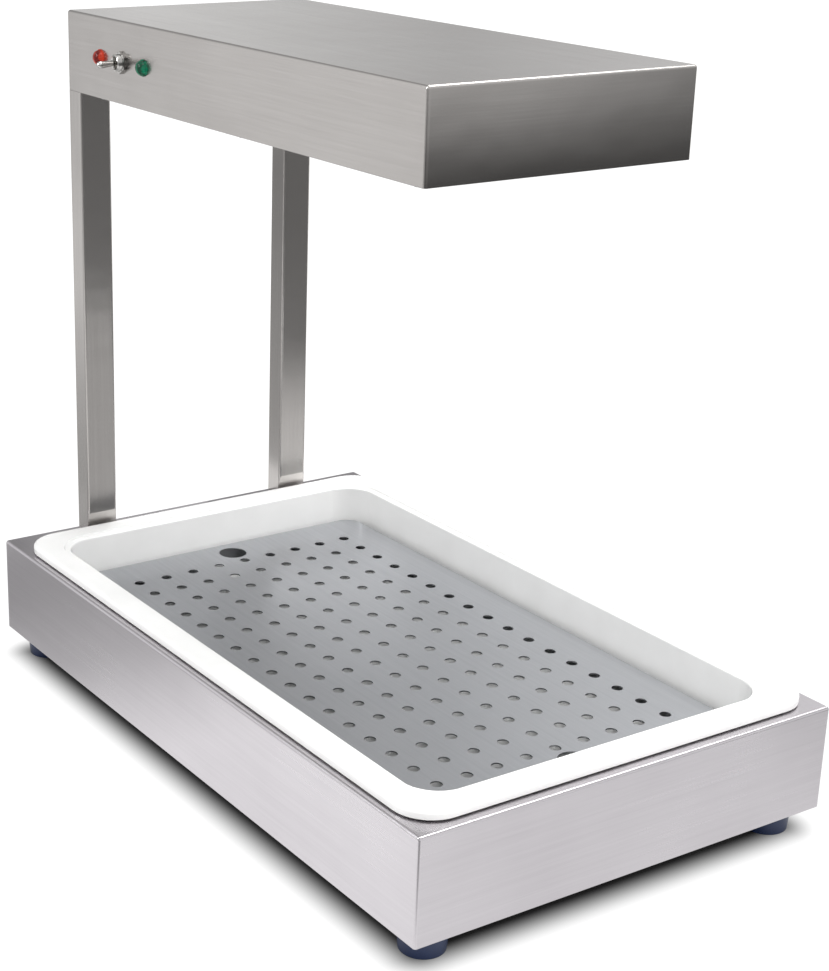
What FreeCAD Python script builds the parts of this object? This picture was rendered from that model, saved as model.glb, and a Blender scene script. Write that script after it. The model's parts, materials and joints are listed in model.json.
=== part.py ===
# Heat lamp warmer: a stainless base with a lift-out food tray, two rear posts and a lamp hood.
# Millimetres. +Z is up, the front faces -Y, and the switch side faces -X.
# The origin is the centre of the bounding box's underside, on the surface that the feet stand on.
import FreeCAD, Part
import math
import os

V = FreeCAD.Vector
X_AXIS = V(1, 0, 0)
Y_AXIS = V(0, 1, 0)
Z_AXIS = V(0, 0, 1)
SIDES = (-1, 1)
CUT_OVER = 1.0            # how far a cutting solid runs past the sheet that it cuts
THREAD_GAP = 0.05         # radial gap left between a fastener and its hole
NEAR = 0.1                # how close an edge lies to the level that it is picked by

# Sheet metal
SHEET = 1.2
BEND_R = 2.2
BASE_LOWER_BEND_R = 1.0
HOOD_LOWER_BEND_R = 0.4

# Base box
BASE_W = 335.0
BASE_D = 552.0
BASE_H = 74.0
RETURN_FLANGE = 34.0
BOTTOM_PLATE_T = 1.0
BOTTOM_PLATE_INSET = 4.0

# Feet
FOOT_H = 17.0
FOOT_TOP_R = 16.2
FOOT_BOTTOM_R = 14.8
FOOT_INSET = 24.0
FOOT_EDGE_R = 1.0
FOOT_RECESS_R = 6.5
FOOT_RECESS_H = 9.0
FOOT_SCREW_R = 2.5

# Posts
POST_W = 25.4
POST_D = 19.05
POST_H = 348.5
POST_WALL = 1.2
POST_CORNER_R = 2.0
TOE_H = 16.0              # pressed-back front of the post's lower end, above the base top
TOE_BACK = 3.0
BLOCK_H = 20.0
BOLT_R = 3.0
MOUNT_PLATE_T = 3.0
MOUNT_PLATE_D = 28.0
MOUNT_PLATE_GAP = 1.5

# Hood box
HOOD_W = 206.0
HOOD_D = 447.0
HOOD_H = 58.5
HOOD_FLANGE = 15.0
HOOD_REAR_FLANGE = 30.0
PANEL_T = 1.2
PANEL_GAP = 0.5

# Food tray, close to the gastronorm 1/1 outline
TRAY_W = 324.0
TRAY_D = 523.5
TRAY_FRONT_GAP = 8.0
TRAY_CORNER_R = 26.0
TRAY_T = 3.0
TRAY_RIM_H = 7.0          # rim top above the base top
TRAY_LIP_H = 1.2          # lower edge of the rim's lip above the base top
TRAY_DEPTH = 42.0
WELL_INSET = 46.0         # from the tray's outline to the centres of the well's corners
LIP_ROUND_R = 2.5
LEDGE_DROP = 1.8
LEDGE_OUT_R = 28.5        # radii of the well's section, from the centre of a corner
WALL_TOP_R = 24.0
WALL_FOOT_R = 20.0
FLOOR_EDGE_R = 16.0
LEDGE_ROUND_R = 1.5
COLLAR_R = 32.5           # corner radius of the base opening, concentric with the well's corners
COLLAR_H = TRAY_RIM_H - TRAY_T

# Drain insert
INSERT_T = 1.0
INSERT_H = 15.0
INSERT_CORNER_R = 15.0
INSERT_EDGE_R = 1.5
INSERT_HOLE_R = 4.0
INSERT_PITCH = 24.0
INSERT_COLUMNS = 9
INSERT_ROWS = 17
FINGER_HOLE_R = 11.0
FINGER_HOLE_INSET = 20.0

# Lamps and reflector
LAMP_X = 35.0
LAMP_AXIS_H = 18.0        # lamp axis above the hood's underside
LAMP_TUBE_R = 5.0
LAMP_WALL = 1.0
FILAMENT_R = 1.4
REFLECTOR_T = 0.8
REFLECTOR_L = 310.0
REFLECTOR_FRONT = 40.0    # from the hood's front face to the reflector's inner end
REFLECTOR_MOUTH = 70.0    # half width at the mouth
REFLECTOR_CROWN = 45.0    # half width at the top
REFLECTOR_H = 38.0
REFLECTOR_FLANGE = 12.0
LAMP_HOLE_R = 7.0
TUBE_OVERHANG = 8.0       # quartz tube beyond each end of the reflector
CAP_W = 12.0
CAP_H = 8.0
CAP_L = 18.0
HOLDER_W = 20.0
HOLDER_D = 14.0
HOLDER_H = 18.0
SOCKET_DEPTH = 10.0
SOCKET_GAP = 0.2
BRACKET_T = 1.2
BRACKET_W = 100.0
BRACKET_H = 27.0

# Wire guard
GUARD_WIRE_R = 1.0
GUARD_HALF_W = 67.0
GUARD_END_GAP = 4.0
GUARD_BARS = 15
CLIP_L = 20.0
CLIP_W = 12.0
CLIP_T = 0.8
CLIP_SCREW_INSET = 5.0

# Switch and pilot lamps on the hood's left side
CONTROL_H = 29.5          # above the hood's underside
SWITCH_FROM_BACK = 84.5
PILOT_SPACING = 32.0
BUSHING_R = 5.9
BUSHING_OUT = 6.0
BORE_R = 3.7
MOUTH_R = 4.7
WASHER_T = 1.0
SWITCH_NUT_AF = 14.0
SWITCH_NUT_T = 2.5
BUSHING_EDGE_R = 0.6
LOCK_WASHER_R = 8.0
SWITCH_BODY = V(20.0, 28.0, 16.0)
TAB_L = 5.0
TAB_W = 5.0
TAB_T = 0.8
SWITCH_TAB_SPACING = 9.0
PILOT_TAB_W = 3.0
PILOT_TAB_SPACING = 4.0
PIVOT_OUT = 1.0
LEVER_BALL_R = 3.1
LEVER_NECK_R = 1.5
LEVER_TIP_R = 2.6
LEVER_L = 22.0
LEVER_REST_TILT = 15.0
PIN_R = 0.6
PIN_END_GAP = 0.3
LENS_R = 6.0
LENS_SKIRT = 0.8
LENS_OUT = 5.8
PILOT_R = 4.5
PILOT_L = 22.0
PILOT_NUT_AF = 13.0
PILOT_NUT_T = 3.0

# Cord inlet on the hood's back
GLAND_X = 0.0
GLAND_H = 29.5
GLAND_HEX_AF = 20.0
GLAND_HEX_T = 5.0
GLAND_OUT = 16.0
GLAND_CAP_R = 8.5
GLAND_THREAD_R = 7.0
GLAND_THREAD_L = 10.0
GLAND_NUT_T = 4.0
SEAL_R = 5.5
CORD_BORE_R = 4.1

# Fasteners. A screw's values are its shank's radius and length and its head's radius and height.
FOOT_NUT_AF = 8.0
FOOT_NUT_T = 4.0
FOOT_WASHER_R = 5.0
BOLT_WASHER_R = 6.0
SMALL_SCREW = (1.75, 8.0, 3.2, 1.8)
FOOT_SCREW = (FOOT_SCREW_R, 18.0, 4.5, 3.0)
POST_BOLT = (BOLT_R, 18.0, 5.0, 4.0)

# Wiring
WIRE_R = 1.3
WIRE_BEND_R = 6.0
WIRE_REACH = 14.0         # straight length of a wire off a tab
WIRE_OFFSET = 3.5         # from the middle of a lamp socket to each of its wires
TAB_WIRE_OFFSET = 1.6     # from the middle of a tab to each of two wires on it
LINK_RISE = 12.0
TOP_GAP = 8.0             # from the hood's top to the highest wires
TERMINAL_BLOCK = V(50.0, 22.0, 18.0)
TERMINAL_X = 5.0
TERMINAL_FROM_BACK = 62.0
TERMINAL_WAYS = 3
TERMINAL_SLOT_W = 2.0
EARTH_R = 2.0
EARTH_L = 16.0
EARTH_X = 74.0
EARTH_FROM_BACK = 38.0
EARTH_NUT_AF = 7.0
EARTH_NUT_T = 3.0
EARTH_NUT_GAP = 1.5

# Levels and edges worked out from the sizes above
FRONT = -(BASE_D + GLAND_OUT) / 2
BACK = FRONT + BASE_D
BASE_Z0 = FOOT_H + BOTTOM_PLATE_T
BASE_Z1 = BASE_Z0 + BASE_H
HOOD_Z0 = BASE_Z1 + POST_H
HOOD_Z1 = HOOD_Z0 + HOOD_H
HOOD_FRONT = BACK - HOOD_D
PANEL_Z0 = HOOD_Z0 + SHEET
PANEL_Z1 = PANEL_Z0 + PANEL_T
POST_X = HOOD_W / 2 - POST_W / 2
POST_Y = BACK - POST_D / 2
LAMP_Z = HOOD_Z0 + LAMP_AXIS_H
CONTROL_Z = HOOD_Z0 + CONTROL_H
SWITCH_Y = BACK - SWITCH_FROM_BACK
WALL_X = -HOOD_W / 2
WALL_INNER_X = WALL_X + SHEET
TRAY_Y = FRONT + TRAY_FRONT_GAP + TRAY_D / 2
WELL_X = TRAY_W / 2 - WELL_INSET
WELL_Y = TRAY_D / 2 - WELL_INSET
TRAY_FLOOR_Z = BASE_Z1 + TRAY_RIM_H - TRAY_DEPTH
REFLECTOR_Y0 = HOOD_FRONT + REFLECTOR_FRONT
REFLECTOR_Y1 = REFLECTOR_Y0 + REFLECTOR_L


def box(x0, x1, y0, y1, z0, z1):
    """Block between two corners."""
    return Part.makeBox(x1 - x0, y1 - y0, z1 - z0, V(x0, y0, z0))


def cylinder(start, direction, radius, length):
    """Round bar from a point along a direction."""
    return Part.makeCylinder(radius, length, start, direction)


def hexagon(start, direction, across_flats, length):
    """Six-sided prism along a direction, with one corner straight up, or on +Y if it stands upright."""
    side = Y_AXIS if abs(direction.z) > 0 else Z_AXIS
    points = []
    for index in range(7):
        corner = FreeCAD.Rotation(direction, 60.0 * index)
        points.append(start + corner.multVec(side) * (across_flats / math.sqrt(3)))
    return Part.Face(Part.makePolygon(points)).extrude(direction * length)


def rounded_slab(half_x, half_y, centre_y, radius, z0, z1):
    """Slab with four round corners, centred on x = 0."""
    slab = box(-half_x, half_x, centre_y - half_y, centre_y + half_y, z0, z1)
    upright = [e for e in slab.Edges if e.BoundBox.ZLength > (z1 - z0) / 2]
    return slab.makeFillet(radius, upright)


def bent_box(half_x, y0, y1, z0, z1, upper_r, lower_r):
    """Closed box with bends of one radius on its top and upright edges and another below."""
    block = box(-half_x, half_x, y0, y1, z0, z1)
    upper = [e for e in block.Edges if e.BoundBox.ZMax > z0 + CUT_OVER]
    block = block.makeFillet(upper_r, upper)
    lower = [e for e in block.Edges if e.BoundBox.ZMax < z0 + lower_r / 2]
    return block.makeFillet(lower_r, lower)


def sheet_box(half_x, y0, y1, z0, z1, lower_r):
    """Closed box folded from sheet, hollow inside."""
    outer = bent_box(half_x, y0, y1, z0, z1, BEND_R, lower_r)
    inner = box(-half_x + SHEET, half_x - SHEET, y0 + SHEET, y1 - SHEET, z0 + SHEET, z1 - SHEET)
    inner_edges = [e for e in inner.Edges if e.BoundBox.ZMax > z0 + SHEET + CUT_OVER]
    return outer.cut(inner.makeFillet(BEND_R - SHEET, inner_edges))


def screw(seat, direction, size):
    """Pan-head screw: its head stands behind the seat and its shank runs along the direction."""
    shank_r, shank_l, head_r, head_h = size
    head = cylinder(seat - direction * head_h, direction, head_r, head_h)
    rim = [e for e in head.Edges if e.Length > head_r and (e.CenterOfMass - seat).Length > head_h / 2]
    head = head.makeFillet(head_h / 3, rim)
    return head.fuse(cylinder(seat, direction, shank_r, shank_l)).removeSplitter()


def washer(seat, direction, inner_r, outer_r, thickness):
    """Plain ring."""
    ring = cylinder(seat, direction, outer_r, thickness)
    return ring.cut(cylinder(seat, direction, inner_r, thickness))


def hex_nut(seat, direction, across_flats, thickness, bore_r):
    """Hexagon nut with a plain bore."""
    nut = hexagon(seat, direction, across_flats, thickness)
    return nut.cut(cylinder(seat, direction, bore_r, thickness))


def drill(shape, points, direction, radius, length):
    """Round holes, each centred on its point along the direction."""
    tools = [cylinder(p - direction * (length / 2), direction, radius, length) for p in points]
    return shape.cut(Part.makeCompound(tools))


# ---- Places that repeat ----

def foot_points(z):
    """Centres of the four feet."""
    return [V(sx * (BASE_W / 2 - FOOT_INSET), y, z)
            for sx in SIDES for y in (FRONT + FOOT_INSET, BACK - FOOT_INSET)]


def bottom_screw_points(z):
    """Screws of the base's bottom plate, half-way along its sides and ends."""
    edge = RETURN_FLANGE / 2
    middle = (FRONT + BACK) / 2
    return [V(-BASE_W / 2 + edge, middle, z), V(BASE_W / 2 - edge, middle, z),
            V(0, FRONT + edge, z), V(0, BACK - edge, z)]


def post_points(z):
    """Axes of the two posts."""
    return [V(sx * POST_X, POST_Y, z) for sx in SIDES]


def panel_screw_points(z):
    """Screws of the hood's bottom panel, along its two long flanges."""
    x = HOOD_W / 2 - HOOD_FLANGE / 2
    ends = (HOOD_FRONT + HOOD_FLANGE, BACK - HOOD_REAR_FLANGE - HOOD_FLANGE)
    return [V(sx * x, y, z) for sx in SIDES for y in (ends[0], sum(ends) / 2, ends[1])]


def clip_points(z):
    """Screws of the four guard clips."""
    x = REFLECTOR_MOUTH + REFLECTOR_FLANGE - CLIP_SCREW_INSET
    inset = REFLECTOR_L / 5
    return [V(sx * x, y, z) for sx in SIDES for y in (REFLECTOR_Y0 + inset, REFLECTOR_Y1 - inset)]


def pilot_y():
    """Red and green pilot lamps, behind and in front of the switch."""
    return {"red": SWITCH_Y + PILOT_SPACING, "green": SWITCH_Y - PILOT_SPACING}


# ---- Base ----

def base_shell():
    """Base box with a collared opening for the tray, open underneath inside its return flanges."""
    shell = sheet_box(BASE_W / 2, FRONT, BACK, BASE_Z0, BASE_Z1, BASE_LOWER_BEND_R)
    half_x = WELL_X + COLLAR_R
    half_y = WELL_Y + COLLAR_R
    collar = rounded_slab(half_x + SHEET, half_y + SHEET, TRAY_Y, COLLAR_R + SHEET,
                          BASE_Z1 - SHEET, BASE_Z1 + COLLAR_H)
    opening = rounded_slab(half_x, half_y, TRAY_Y, COLLAR_R, BASE_Z1 - SHEET - CUT_OVER,
                           BASE_Z1 + COLLAR_H + CUT_OVER)
    shell = shell.fuse(collar).cut(opening)
    mouth_x = BASE_W / 2 - RETURN_FLANGE
    shell = shell.cut(box(-mouth_x, mouth_x, FRONT + RETURN_FLANGE, BACK - RETURN_FLANGE,
                          BASE_Z0 - CUT_OVER, BASE_Z0 + SHEET + CUT_OVER))
    shell = drill(shell, foot_points(BASE_Z0), Z_AXIS, FOOT_SCREW_R + THREAD_GAP, 4 * SHEET)
    shell = drill(shell, bottom_screw_points(BASE_Z0), Z_AXIS, SMALL_SCREW[0] + THREAD_GAP, 4 * SHEET)
    return drill(shell, post_points(BASE_Z1), Z_AXIS, BOLT_R + THREAD_GAP, 4 * SHEET).removeSplitter()


def base_bottom_plate():
    """Flat plate under the return flanges."""
    half_x = BASE_W / 2 - BOTTOM_PLATE_INSET
    half_y = BASE_D / 2 - BOTTOM_PLATE_INSET
    plate = rounded_slab(half_x, half_y, (FRONT + BACK) / 2, BEND_R, FOOT_H, BASE_Z0)
    plate = drill(plate, foot_points(FOOT_H), Z_AXIS, FOOT_SCREW_R + THREAD_GAP, 4 * SHEET)
    return drill(plate, bottom_screw_points(FOOT_H), Z_AXIS, SMALL_SCREW[0] + THREAD_GAP, 4 * SHEET)


def foot(centre):
    """Tapered rubber foot with a recess for its screw's head."""
    body = Part.makeCone(FOOT_BOTTOM_R, FOOT_TOP_R, FOOT_H, centre, Z_AXIS)
    lower = [e for e in body.Edges if e.BoundBox.ZMax < centre.z + NEAR]
    body = body.makeFillet(FOOT_EDGE_R, lower)
    body = body.cut(cylinder(centre, Z_AXIS, FOOT_RECESS_R, FOOT_RECESS_H))
    return body.cut(cylinder(centre, Z_AXIS, FOOT_SCREW_R + THREAD_GAP, FOOT_H))


def add_base(nodes):
    """The base box, its bottom plate, feet and fasteners."""
    nodes["base_shell"] = base_shell()
    nodes["base_bottom_plate"] = base_bottom_plate()
    names = ("foot_front_left", "foot_rear_left", "foot_front_right", "foot_rear_right")
    for name, centre in zip(names, foot_points(0)):
        nodes[name] = foot(centre)
    washer_z = BASE_Z0 + SHEET
    nodes["foot_screws"] = Part.makeCompound(
        [screw(p, Z_AXIS, FOOT_SCREW) for p in foot_points(FOOT_RECESS_H)])
    nodes["foot_washers"] = Part.makeCompound(
        [washer(p, Z_AXIS, FOOT_SCREW_R + THREAD_GAP, FOOT_WASHER_R, WASHER_T)
         for p in foot_points(washer_z)])
    nodes["foot_nuts"] = Part.makeCompound(
        [hex_nut(p, Z_AXIS, FOOT_NUT_AF, FOOT_NUT_T, FOOT_SCREW_R + THREAD_GAP)
         for p in foot_points(washer_z + WASHER_T)])
    nodes["bottom_plate_screws"] = Part.makeCompound(
        [screw(p, Z_AXIS, SMALL_SCREW) for p in bottom_screw_points(FOOT_H)])


# ---- Posts ----

def post(centre):
    """Rectangular tube with rounded corners, standing on the base."""
    outer = box(centre.x - POST_W / 2, centre.x + POST_W / 2, centre.y - POST_D / 2,
                centre.y + POST_D / 2, BASE_Z1, HOOD_Z0)
    upright = [e for e in outer.Edges if e.BoundBox.ZLength > POST_H / 2]
    outer = outer.makeFillet(POST_CORNER_R, upright).cut(toe_wedge(centre, 0))
    return outer.cut(post_core(centre, BASE_Z1, HOOD_Z0))


def toe_wedge(centre, wall):
    """Space in front of the pressed-back lower end of a post, or of its inside."""
    front = centre.y - POST_D / 2 + wall
    section = Part.makePolygon([V(centre.x - POST_W, front, BASE_Z1 + TOE_H),
                                V(centre.x - POST_W, front + TOE_BACK, BASE_Z1),
                                V(centre.x - POST_W, front - CUT_OVER, BASE_Z1),
                                V(centre.x - POST_W, front - CUT_OVER, BASE_Z1 + TOE_H),
                                V(centre.x - POST_W, front, BASE_Z1 + TOE_H)])
    return Part.Face(section).extrude(V(2 * POST_W, 0, 0))


def post_core(centre, z0, z1):
    """Inside of the tube between two heights."""
    half_x = POST_W / 2 - POST_WALL
    half_y = POST_D / 2 - POST_WALL
    core = box(centre.x - half_x, centre.x + half_x, centre.y - half_y, centre.y + half_y, z0, z1)
    upright = [e for e in core.Edges if e.BoundBox.ZLength > (z1 - z0) / 2]
    return core.makeFillet(POST_CORNER_R - POST_WALL, upright).cut(toe_wedge(centre, POST_WALL))


def mount_plate(z0):
    """Stiffening plate that the post bolts clamp against the sheet."""
    half_x = HOOD_W / 2 - 2 * SHEET - BEND_R
    y1 = BACK - SHEET - MOUNT_PLATE_GAP
    plate = box(-half_x, half_x, y1 - MOUNT_PLATE_D, y1, z0, z0 + MOUNT_PLATE_T)
    return drill(plate, post_points(z0), Z_AXIS, BOLT_R + THREAD_GAP, 4 * MOUNT_PLATE_T)


def add_posts(nodes):
    """Two posts with welded end blocks, bolted through plates in the base and the hood."""
    left, right = post_points(BASE_Z1)
    nodes["left_post"] = post(left)
    nodes["right_post"] = post(right)
    blocks = []
    for centre in (left, right):
        for z0 in (BASE_Z1, HOOD_Z0 - BLOCK_H):
            block = post_core(centre, z0, z0 + BLOCK_H)
            blocks.append(block.cut(cylinder(V(centre.x, centre.y, z0), Z_AXIS,
                                             BOLT_R + THREAD_GAP, BLOCK_H)))
    nodes["post_end_blocks"] = Part.makeCompound(blocks)
    base_plate_z = BASE_Z1 - SHEET - MOUNT_PLATE_T
    hood_plate_z = HOOD_Z0 + SHEET
    nodes["base_mount_plate"] = mount_plate(base_plate_z)
    nodes["hood_mount_plate"] = mount_plate(hood_plate_z)
    lower = [(p, Z_AXIS) for p in post_points(base_plate_z)]
    upper = [(p, -Z_AXIS) for p in post_points(hood_plate_z + MOUNT_PLATE_T)]
    nodes["post_bolt_washers"] = Part.makeCompound(
        [washer(p - d * WASHER_T, d, BOLT_R + THREAD_GAP, BOLT_WASHER_R, WASHER_T)
         for p, d in lower + upper])
    nodes["post_bolts"] = Part.makeCompound(
        [screw(p - d * WASHER_T, d, POST_BOLT) for p, d in lower + upper])


# ---- Hood ----

def hood_shell():
    """Hood box, open underneath inside its flanges, with holes for the controls and the cord."""
    shell = sheet_box(HOOD_W / 2, HOOD_FRONT, BACK, HOOD_Z0, HOOD_Z1, HOOD_LOWER_BEND_R)
    mouth_x = HOOD_W / 2 - HOOD_FLANGE
    shell = shell.cut(box(-mouth_x, mouth_x, HOOD_FRONT + HOOD_FLANGE, BACK - HOOD_REAR_FLANGE,
                          HOOD_Z0 - CUT_OVER, HOOD_Z0 + SHEET + CUT_OVER))
    shell = drill(shell, post_points(HOOD_Z0), Z_AXIS, BOLT_R + THREAD_GAP, 4 * SHEET)
    shell = drill(shell, panel_screw_points(HOOD_Z0), Z_AXIS, SMALL_SCREW[0] + THREAD_GAP, 4 * SHEET)
    shell = drill(shell, [V(WALL_X, SWITCH_Y, CONTROL_Z)], X_AXIS, BUSHING_R + THREAD_GAP, 4 * SHEET)
    pilots = [V(WALL_X, y, CONTROL_Z) for y in pilot_y().values()]
    shell = drill(shell, pilots, X_AXIS, PILOT_R + THREAD_GAP, 4 * SHEET)
    return drill(shell, [V(GLAND_X, BACK, HOOD_Z0 + GLAND_H)], Y_AXIS,
                 GLAND_THREAD_R + THREAD_GAP, 4 * SHEET)


def hood_bottom_panel():
    """Frame panel inside the hood's flanges, open under the reflector."""
    half_x = HOOD_W / 2 - SHEET - PANEL_GAP
    y1 = BACK - SHEET - MOUNT_PLATE_GAP - MOUNT_PLATE_D - PANEL_GAP
    panel = box(-half_x, half_x, HOOD_FRONT + SHEET + PANEL_GAP, y1, PANEL_Z0, PANEL_Z1)
    rim = REFLECTOR_T
    panel = panel.cut(box(-REFLECTOR_MOUTH - rim, REFLECTOR_MOUTH + rim, REFLECTOR_Y0 - rim,
                          REFLECTOR_Y1 + rim, PANEL_Z0, PANEL_Z1))
    panel = drill(panel, panel_screw_points(PANEL_Z0), Z_AXIS, SMALL_SCREW[0] + THREAD_GAP, 4 * SHEET)
    return drill(panel, clip_points(PANEL_Z0), Z_AXIS, SMALL_SCREW[0] + THREAD_GAP, 4 * SHEET)


def trough(extra):
    """Solid with the reflector's tapered section, larger all round by the sheet's thickness."""
    z0 = PANEL_Z1
    z1 = PANEL_Z1 + REFLECTOR_H + extra
    mouth = REFLECTOR_MOUTH + extra
    crown = REFLECTOR_CROWN + extra
    y0 = REFLECTOR_Y0 - extra
    section = Part.makePolygon([V(-mouth, y0, z0), V(mouth, y0, z0), V(crown, y0, z1),
                                V(-crown, y0, z1), V(-mouth, y0, z0)])
    return Part.Face(section).extrude(V(0, REFLECTOR_L + 2 * extra, 0))


def reflector():
    """Polished trough with a flange that lies on the bottom panel and holes for the lamp ends."""
    flange_x = REFLECTOR_MOUTH + REFLECTOR_FLANGE
    flange = box(-flange_x, flange_x, REFLECTOR_Y0 - REFLECTOR_T, REFLECTOR_Y1 + REFLECTOR_T,
                 PANEL_Z1, PANEL_Z1 + REFLECTOR_T)
    body = trough(REFLECTOR_T).fuse(flange).cut(trough(0))
    ends = [V(sx * LAMP_X, y, LAMP_Z) for sx in SIDES for y in (REFLECTOR_Y0, REFLECTOR_Y1)]
    body = drill(body, ends, Y_AXIS, LAMP_HOLE_R, 4 * REFLECTOR_T)
    body = drill(body, clip_points(PANEL_Z1), Z_AXIS, SMALL_SCREW[0] + THREAD_GAP, 4 * SHEET)
    return body.removeSplitter()


def add_hood(nodes):
    """The hood box with its bottom panel and reflector."""
    nodes["hood_shell"] = hood_shell()
    nodes["hood_bottom_panel"] = hood_bottom_panel()
    nodes["reflector"] = reflector()
    nodes["hood_panel_screws"] = Part.makeCompound(
        [screw(p, Z_AXIS, SMALL_SCREW) for p in panel_screw_points(HOOD_Z0)])


# ---- Lamps ----

def lamp_end(side):
    """Outer end of the quartz tubes at the front (-1) or the rear (1) of the reflector."""
    return REFLECTOR_Y1 + TUBE_OVERHANG if side > 0 else REFLECTOR_Y0 - TUBE_OVERHANG


def quartz_lamp(x):
    """Sealed quartz tube, hollow round its filament."""
    length = lamp_end(1) - lamp_end(-1)
    start = V(x, lamp_end(-1), LAMP_Z)
    tube = cylinder(start, Y_AXIS, LAMP_TUBE_R, length)
    hollow = cylinder(start + Y_AXIS * TUBE_OVERHANG, Y_AXIS, LAMP_TUBE_R - LAMP_WALL,
                      length - 2 * TUBE_OVERHANG)
    return tube.cut(hollow)


def filament(x):
    """Filament along the tube's axis."""
    return cylinder(V(x, REFLECTOR_Y0, LAMP_Z), Y_AXIS, FILAMENT_R, REFLECTOR_L)


def end_cap(x, side):
    """Ceramic end of a lamp."""
    y = lamp_end(side)
    y0, y1 = sorted((y, y + side * CAP_L))
    return box(x - CAP_W / 2, x + CAP_W / 2, y0, y1, LAMP_Z - CAP_H / 2, LAMP_Z + CAP_H / 2)


def lamp_holder(x, side):
    """Ceramic socket that takes the outer part of an end cap."""
    back = lamp_end(side) + side * (CAP_L - SOCKET_DEPTH + HOLDER_D)
    y0, y1 = sorted((back, back - side * HOLDER_D))
    body = box(x - HOLDER_W / 2, x + HOLDER_W / 2, y0, y1, LAMP_Z - HOLDER_H / 2, LAMP_Z + HOLDER_H / 2)
    mouth = back - side * HOLDER_D
    p0, p1 = sorted((mouth, mouth + side * SOCKET_DEPTH))
    half_x = CAP_W / 2 + SOCKET_GAP
    half_z = CAP_H / 2 + SOCKET_GAP
    return body.cut(box(x - half_x, x + half_x, p0, p1, LAMP_Z - half_z, LAMP_Z + half_z))


def holder_bracket(side):
    """Angle on the bottom panel that carries the two sockets of one end."""
    back = lamp_end(side) + side * (CAP_L - SOCKET_DEPTH + HOLDER_D)
    y0, y1 = sorted((back, back + side * BRACKET_T))
    f0, f1 = sorted((back + side * BRACKET_T, back - side * HOLDER_D))
    half = BRACKET_W / 2
    upright = box(-half, half, y0, y1, PANEL_Z1, PANEL_Z1 + BRACKET_H)
    foot_plate = box(-half, half, f0, f1, PANEL_Z1, PANEL_Z1 + BRACKET_T)
    return upright.fuse(foot_plate).removeSplitter()


def add_lamps(nodes):
    """Two infrared lamps with their ends, sockets and brackets."""
    for name, side in (("left", -1), ("right", 1)):
        nodes["quartz_lamp_" + name] = quartz_lamp(side * LAMP_X)
        nodes["lamp_filament_" + name] = filament(side * LAMP_X)
    ends = [(sx * LAMP_X, sy) for sx in SIDES for sy in SIDES]
    nodes["lamp_end_caps"] = Part.makeCompound([end_cap(x, side) for x, side in ends])
    nodes["lamp_holders"] = Part.makeCompound([lamp_holder(x, side) for x, side in ends])
    nodes["holder_bracket_front"] = holder_bracket(-1)
    nodes["holder_bracket_rear"] = holder_bracket(1)


# ---- Wire guard ----

def wire_guard():
    """Three long wires below the reflector's mouth with cross wires spot-welded on top of them."""
    z = PANEL_Z0 + GUARD_WIRE_R
    y0 = REFLECTOR_Y0 + GUARD_END_GAP
    y1 = REFLECTOR_Y1 - GUARD_END_GAP
    bars = []
    for x in (-GUARD_HALF_W, 0, GUARD_HALF_W):
        bars.append(cylinder(V(x, y0, z), Y_AXIS, GUARD_WIRE_R, y1 - y0))
    step = (y1 - y0 - 4 * GUARD_WIRE_R) / (GUARD_BARS - 1)
    for index in range(GUARD_BARS):
        start = V(-GUARD_HALF_W - GUARD_WIRE_R, y0 + 2 * GUARD_WIRE_R + index * step, z + 2 * GUARD_WIRE_R)
        bars.append(cylinder(start, X_AXIS, GUARD_WIRE_R, 2 * (GUARD_HALF_W + GUARD_WIRE_R)))
    return Part.makeCompound(bars)


def guard_clip(point):
    """Flat tab under the panel that holds up one side of the guard."""
    side = math.copysign(1, point.x)
    x0, x1 = sorted((point.x + side * CLIP_SCREW_INSET, point.x - side * (CLIP_L - CLIP_SCREW_INSET)))
    clip = box(x0, x1, point.y - CLIP_W / 2, point.y + CLIP_W / 2, point.z - CLIP_T, point.z)
    return drill(clip, [point], Z_AXIS, SMALL_SCREW[0] + THREAD_GAP, 4 * SHEET)


def add_guard(nodes):
    """The wire guard with its clips and screws."""
    nodes["wire_guard"] = wire_guard()
    nodes["guard_clips"] = Part.makeCompound([guard_clip(p) for p in clip_points(PANEL_Z0)])
    nodes["guard_screws"] = Part.makeCompound(
        [screw(p, Z_AXIS, SMALL_SCREW) for p in clip_points(PANEL_Z0 - CLIP_T)])


# ---- Switch and pilot lamps ----

def switch_bushing():
    """Threaded bushing through the wall, with a bore that widens at its mouth."""
    inner_x = WALL_INNER_X + WASHER_T
    start = V(inner_x, SWITCH_Y, CONTROL_Z)
    length = inner_x - WALL_X + BUSHING_OUT
    body = cylinder(start, -X_AXIS, BUSHING_R, length)
    rim = [e for e in body.Edges if e.BoundBox.XMax < WALL_X - BUSHING_OUT + NEAR]
    body = body.makeFillet(BUSHING_EDGE_R, rim)
    body = body.cut(cylinder(start, -X_AXIS, BORE_R, length))
    mouth = Part.makeCone(BORE_R, MOUTH_R, BUSHING_OUT / 2,
                          V(WALL_X - BUSHING_OUT / 2, SWITCH_Y, CONTROL_Z), -X_AXIS)
    pin = cylinder(V(WALL_X - PIVOT_OUT, SWITCH_Y, CONTROL_Z - BUSHING_R), Z_AXIS, PIN_R, 2 * BUSHING_R)
    return body.cut(mouth).cut(pin)


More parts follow.
